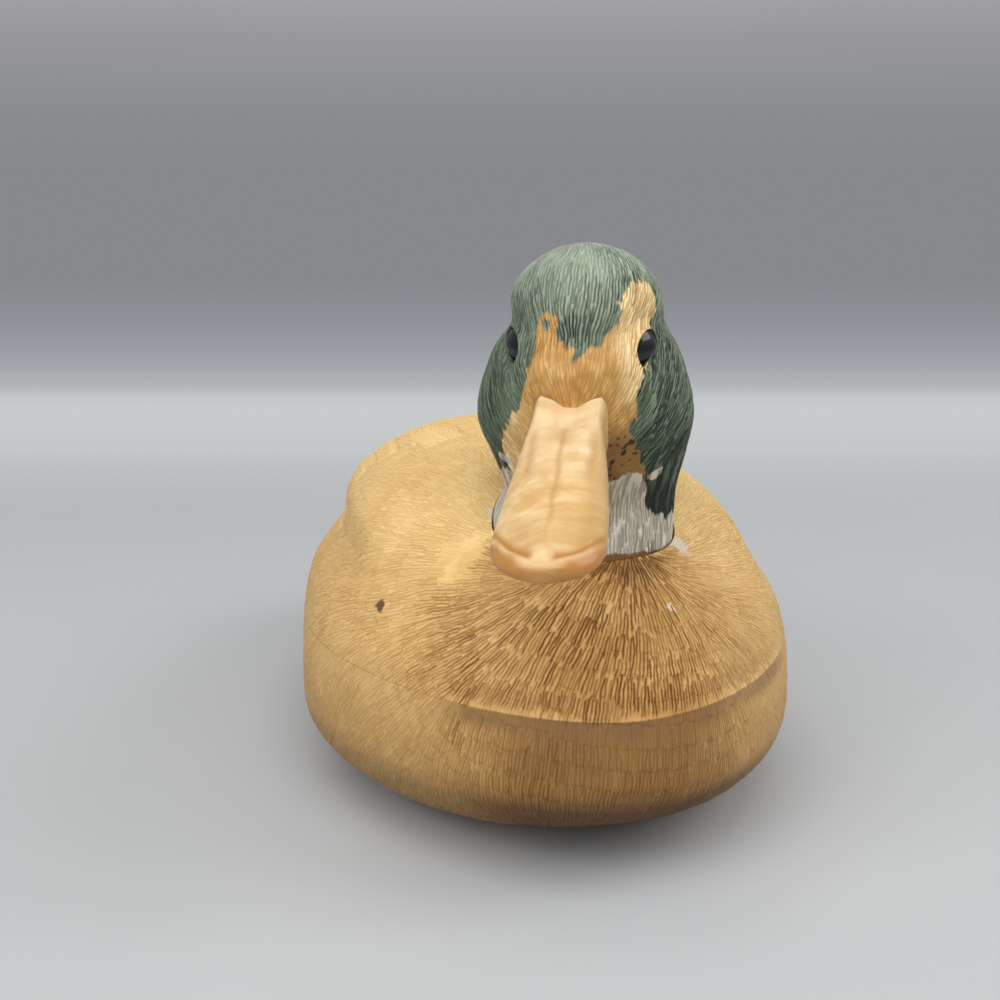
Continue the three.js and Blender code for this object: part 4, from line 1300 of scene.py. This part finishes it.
def bill_material():
    shader = Shader("satin_bill_wood")
    broad = shader.noise(130.0)
    streak = shader.noise(380.0, 4.0, (0.3, 1.0, 1.0))
    blotch = shader.noise(330.0, 3.0, (1.0, 0.5, 1.0))
    color = shader.between(broad, 0.3, 0.7, (216, 178, 118), (204, 160, 98))
    # pale is a painted highlight on the bill's top near the root; side is painted shade on its
    # down-facing sides and its +X side.
    for where, tone, strength in (
        (shader.spread(streak, 0.42, 0.66), (238, 212, 164), 0.6), ("pale", (245, 224, 185), 0.65),
        (shader.spread(blotch, 0.5, 0.75), (198, 150, 88), 0.4), ("side", (186, 144, 82), 0.8),
        ("line", (184, 134, 80), 0.75), ("amber", (176, 116, 40), 0.9),
    ):
        color = shader.stain(color, where, tone, strength)
    return shader.finish(
        color, shader.spread(shader.noise(900.0), 0.3, 0.7, 0.3, 0.42),
        shader.math("ADD", streak, broad), 0.12, 0.00015,
        Subsurface_Weight=0.12, Subsurface_Scale=0.002, Coat_Weight=0.12, Coat_Roughness=0.28)


def eye_material():
    shader = Shader("eye_glass_dark")
    fleck = shader.noise(2500.0, 3.0)
    iris = shader.between(fleck, 0.3, 0.7, (74, 32, 16), (40, 18, 10))
    color = shader.mix(shader.spread(shader.value("radius"), 0.7, 0.8), srgb(7, 6, 6), iris)
    return shader.finish(
        color, shader.spread(fleck, 0.3, 0.7, 0.3, 0.4),
        Specular_IOR_Level=0.15, Coat_Weight=0.75, Coat_Roughness=0.04)


def speckled_material(name, noise, low, tones, rough, relief, **sockets):
    """A plain material of two tones, with a fine relief."""
    shader = Shader(name)
    fleck = shader.noise(*noise)
    color = shader.between(fleck, low, 0.7, *tones)
    return shader.finish(color, shader.spread(fleck, 0.2, 0.8, *rough), fleck, *relief, **sockets)


# The studio: a flat floor with a painted paper sweep, light and camera. All but the camera's place is
# in metres.

CAMERA_AZIMUTH = -10.78
CAMERA_ELEVATION = 12.54
CAMERA_DISTANCE = 270.06
CAMERA_TARGET = Vector((-14.76, -40.0, 62.8))
FOCAL_LENGTH = 54.0
FILM_WIDTH = 36.0
AMBIENT = 0.4
FLOOR_REACH = 30.0
SWEEP_TURN = -CAMERA_AZIMUTH
SWEEP_BLEND = (0.20, 0.34)
# Painted light and shade of a paper sweep, for the floor's glow: a painted bright band, then darker
# further back.
SWEEP_PAINTED_LIGHT = [
    (0.22, (189, 193, 195)), (0.30, (193, 197, 199)), (0.37, (196, 200, 201)), (0.40, (199, 202, 203)),
    (0.455, (200, 203, 204)), (0.49, (196, 199, 201)), (0.53, (180, 184, 187)), (0.61, (165, 169, 173)),
    (0.72, (153, 156, 161)), (0.92, (142, 145, 149)), (1.30, (135, 137, 141)),
]
# Painted light and shade of the backdrop that the camera sees: lighter higher up.
SKY_PAINTED_LIGHT = [
    (0.0, (135, 137, 141)), (0.03, (138, 140, 144)), (0.055, (144, 145, 149)), (0.08, (153, 153, 157)),
    (0.10, (160, 160, 164)), (0.12, (166, 166, 170)),
]


def floor_material():
    """Pale near the object. Further back it glows in the painted light and shade of a paper sweep."""
    shader = Shader("studio_floor")
    split = shader.add("SeparateXYZ", {0: shader.place})
    x, y = split.outputs[0], split.outputs[1]

    def combined(a, b):
        return shader.math("ADD", shader.math("MULTIPLY", x, a), shader.math("MULTIPLY", y, b))

    turn = math.radians(SWEEP_TURN)
    behind = combined(math.sin(turn), math.cos(turn))
    distance = shader.math("SQRT", combined(x, y))
    away = shader.math("MAXIMUM", behind, shader.math("MULTIPLY", distance, 0.75))
    near = shader.between(shader.noise(8.0, 3.0), 0.3, 0.7, (184, 187, 189), (187, 189, 191))
    shader.finish(near, 0.85)
    # The floor glows in the sweep's painted tones where the camera or a reflection sees it.
    backdrop = shader.add("Emission", {"Color": shader.ramp(away, SWEEP_PAINTED_LIGHT)})
    share = shader.math("MULTIPLY", shader.spread(away, *SWEEP_BLEND), shader.seen_directly())
    blend = shader.add("MixShader", {0: share, 1: shader.surface.outputs[0], 2: backdrop.outputs[0]})
    shader.link(blend.outputs[0], shader.tree.nodes["Material Output"].inputs["Surface"])
    return shader.material


def build_world():
    world = bpy.data.worlds.new("studio_world")
    bpy.context.scene.world = world
    world.use_nodes = True
    world.node_tree.nodes.clear()
    wiring = Wiring(world.node_tree, "Generated")
    height = wiring.add("SeparateXYZ", {0: wiring.place}).outputs[2]
    ambient = wiring.add("Background", {"Color": (1, 1, 1, 1), "Strength": AMBIENT})
    # The backdrop the camera sees glows in painted tones.
    backdrop = wiring.add("Background", {"Color": wiring.ramp(height, SKY_PAINTED_LIGHT)})
    mix = wiring.add("MixShader", {
        0: wiring.seen_directly(), 1: ambient.outputs[0], 2: backdrop.outputs[0]})
    wiring.add("OutputWorld", {0: mix.outputs[0]})


def build_studio():
    corners = np.array([[-1, -1, 0], [1, -1, 0], [1, 1, 0], [-1, 1, 0]]) * FLOOR_REACH / MM
    floor = new_object("floor", corners, np.array([[0, 1, 2, 3]]), corners[:, :2])
    floor.data.materials.append(floor_material())
    build_world()


def area_light(name, place, target, size, power, color=(1, 1, 1)):
    lamp = bpy.data.lights.new(name, "AREA")
    lamp.shape = "RECTANGLE"
    lamp.size, lamp.size_y = size
    lamp.energy = power
    lamp.color = color
    holder = bpy.data.objects.new(name, lamp)
    bpy.context.scene.collection.objects.link(holder)
    holder.location = Vector(place)
    holder.rotation_mode = "QUATERNION"
    holder.rotation_quaternion = (Vector(target) - Vector(place)).to_track_quat("-Z", "Y")


def build_lights():
    area_light("top_softbox", (-0.2, -0.5, 0.9), (0, 0, 0.03), (1.0, 0.9), 6.7)
    area_light("left_softbox", (-0.8, -0.45, 0.5), (0, -0.02, 0.04), (0.7, 0.5), 3.0)
    area_light("front_softbox", (0.15, -1.1, 0.5), (0, -0.03, 0.03), (0.9, 0.5), 1.4)
    area_light("right_softbox", (0.8, -0.2, 0.6), (0, -0.02, 0.05), (0.6, 0.6), 3.5)


def build_camera():
    lens = bpy.data.cameras.new("photo_camera")
    lens.sensor_width = FILM_WIDTH
    lens.lens = FOCAL_LENGTH
    lens.clip_start, lens.clip_end = 0.01, 60.0
    camera = bpy.data.objects.new("photo_camera", lens)
    bpy.context.scene.collection.objects.link(camera)
    bpy.context.scene.camera = camera
    azimuth, elevation = math.radians(CAMERA_AZIMUTH), math.radians(CAMERA_ELEVATION)
    level = Vector((math.sin(azimuth), -math.cos(azimuth), 0)) * math.cos(elevation)
    back = level + Vector((0, 0, math.sin(elevation)))
    camera.location = (CAMERA_TARGET + back * CAMERA_DISTANCE) * MM
    camera.rotation_mode = "QUATERNION"
    camera.rotation_quaternion = (-back).to_track_quat("-Z", "Y")


def dress(piece, material, slot, *nodes):
    piece.data.materials.clear()
    piece.data.materials.append(material)
    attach(piece, "root")
    if nodes:
        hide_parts(*nodes)


def dress_node(name, material):
    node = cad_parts[name]
    node.data.materials.clear()
    node.data.materials.append(material)


body_upper, body_lower = build_body()
burned_wood = burned_wood_material()
dress(body_upper, burned_wood, "carved_wood", "body_upper")
dress(body_lower, burned_wood, "carved_wood", "body_lower")
dress(build_head(), painted_head_material(), "painted_head", "head_and_neck")
dress(build_bill(), bill_material(), "bill_wood", "bill")
glass = eye_material()
putty = speckled_material(
    "eye_putty_dark", (1800.0, 4.0), 0.3, ((62, 58, 46), (38, 36, 28)), (0.55, 0.8), (0.4, 0.0001))
for side, name in ((1, "left"), (-1, "right")):
    dress(build_eye(side, "eye_glass_" + name), glass, "eye_glass", "eye_" + name)
    dress(build_putty(side, "eye_bed_" + name), putty, "eye_putty", "eye_putty_" + name)
steel = speckled_material(
    "zinc_screw", (3000.0, 3.0, (1, 1, 6)), 0.3, ((196, 198, 200), (168, 170, 172)),
    (0.22, 0.4), (0.2, 0.00005), Metallic=1.0)
beech = speckled_material(
    "beech_dowel", (1500.0, 3.0, (1, 1, 0.15)), 0.35, ((206, 172, 126), (178, 138, 92)),
    (0.55, 0.75), (0.3, 0.0001))
for name, material in (
    ("neck_screw", steel), ("neck_washer", steel), ("dowel_front", beech), ("dowel_rear", beech),
):
    dress_node(name, material)

build_studio()
build_lights()
build_camera()
bpy.context.scene.view_settings.view_transform = "Standard"
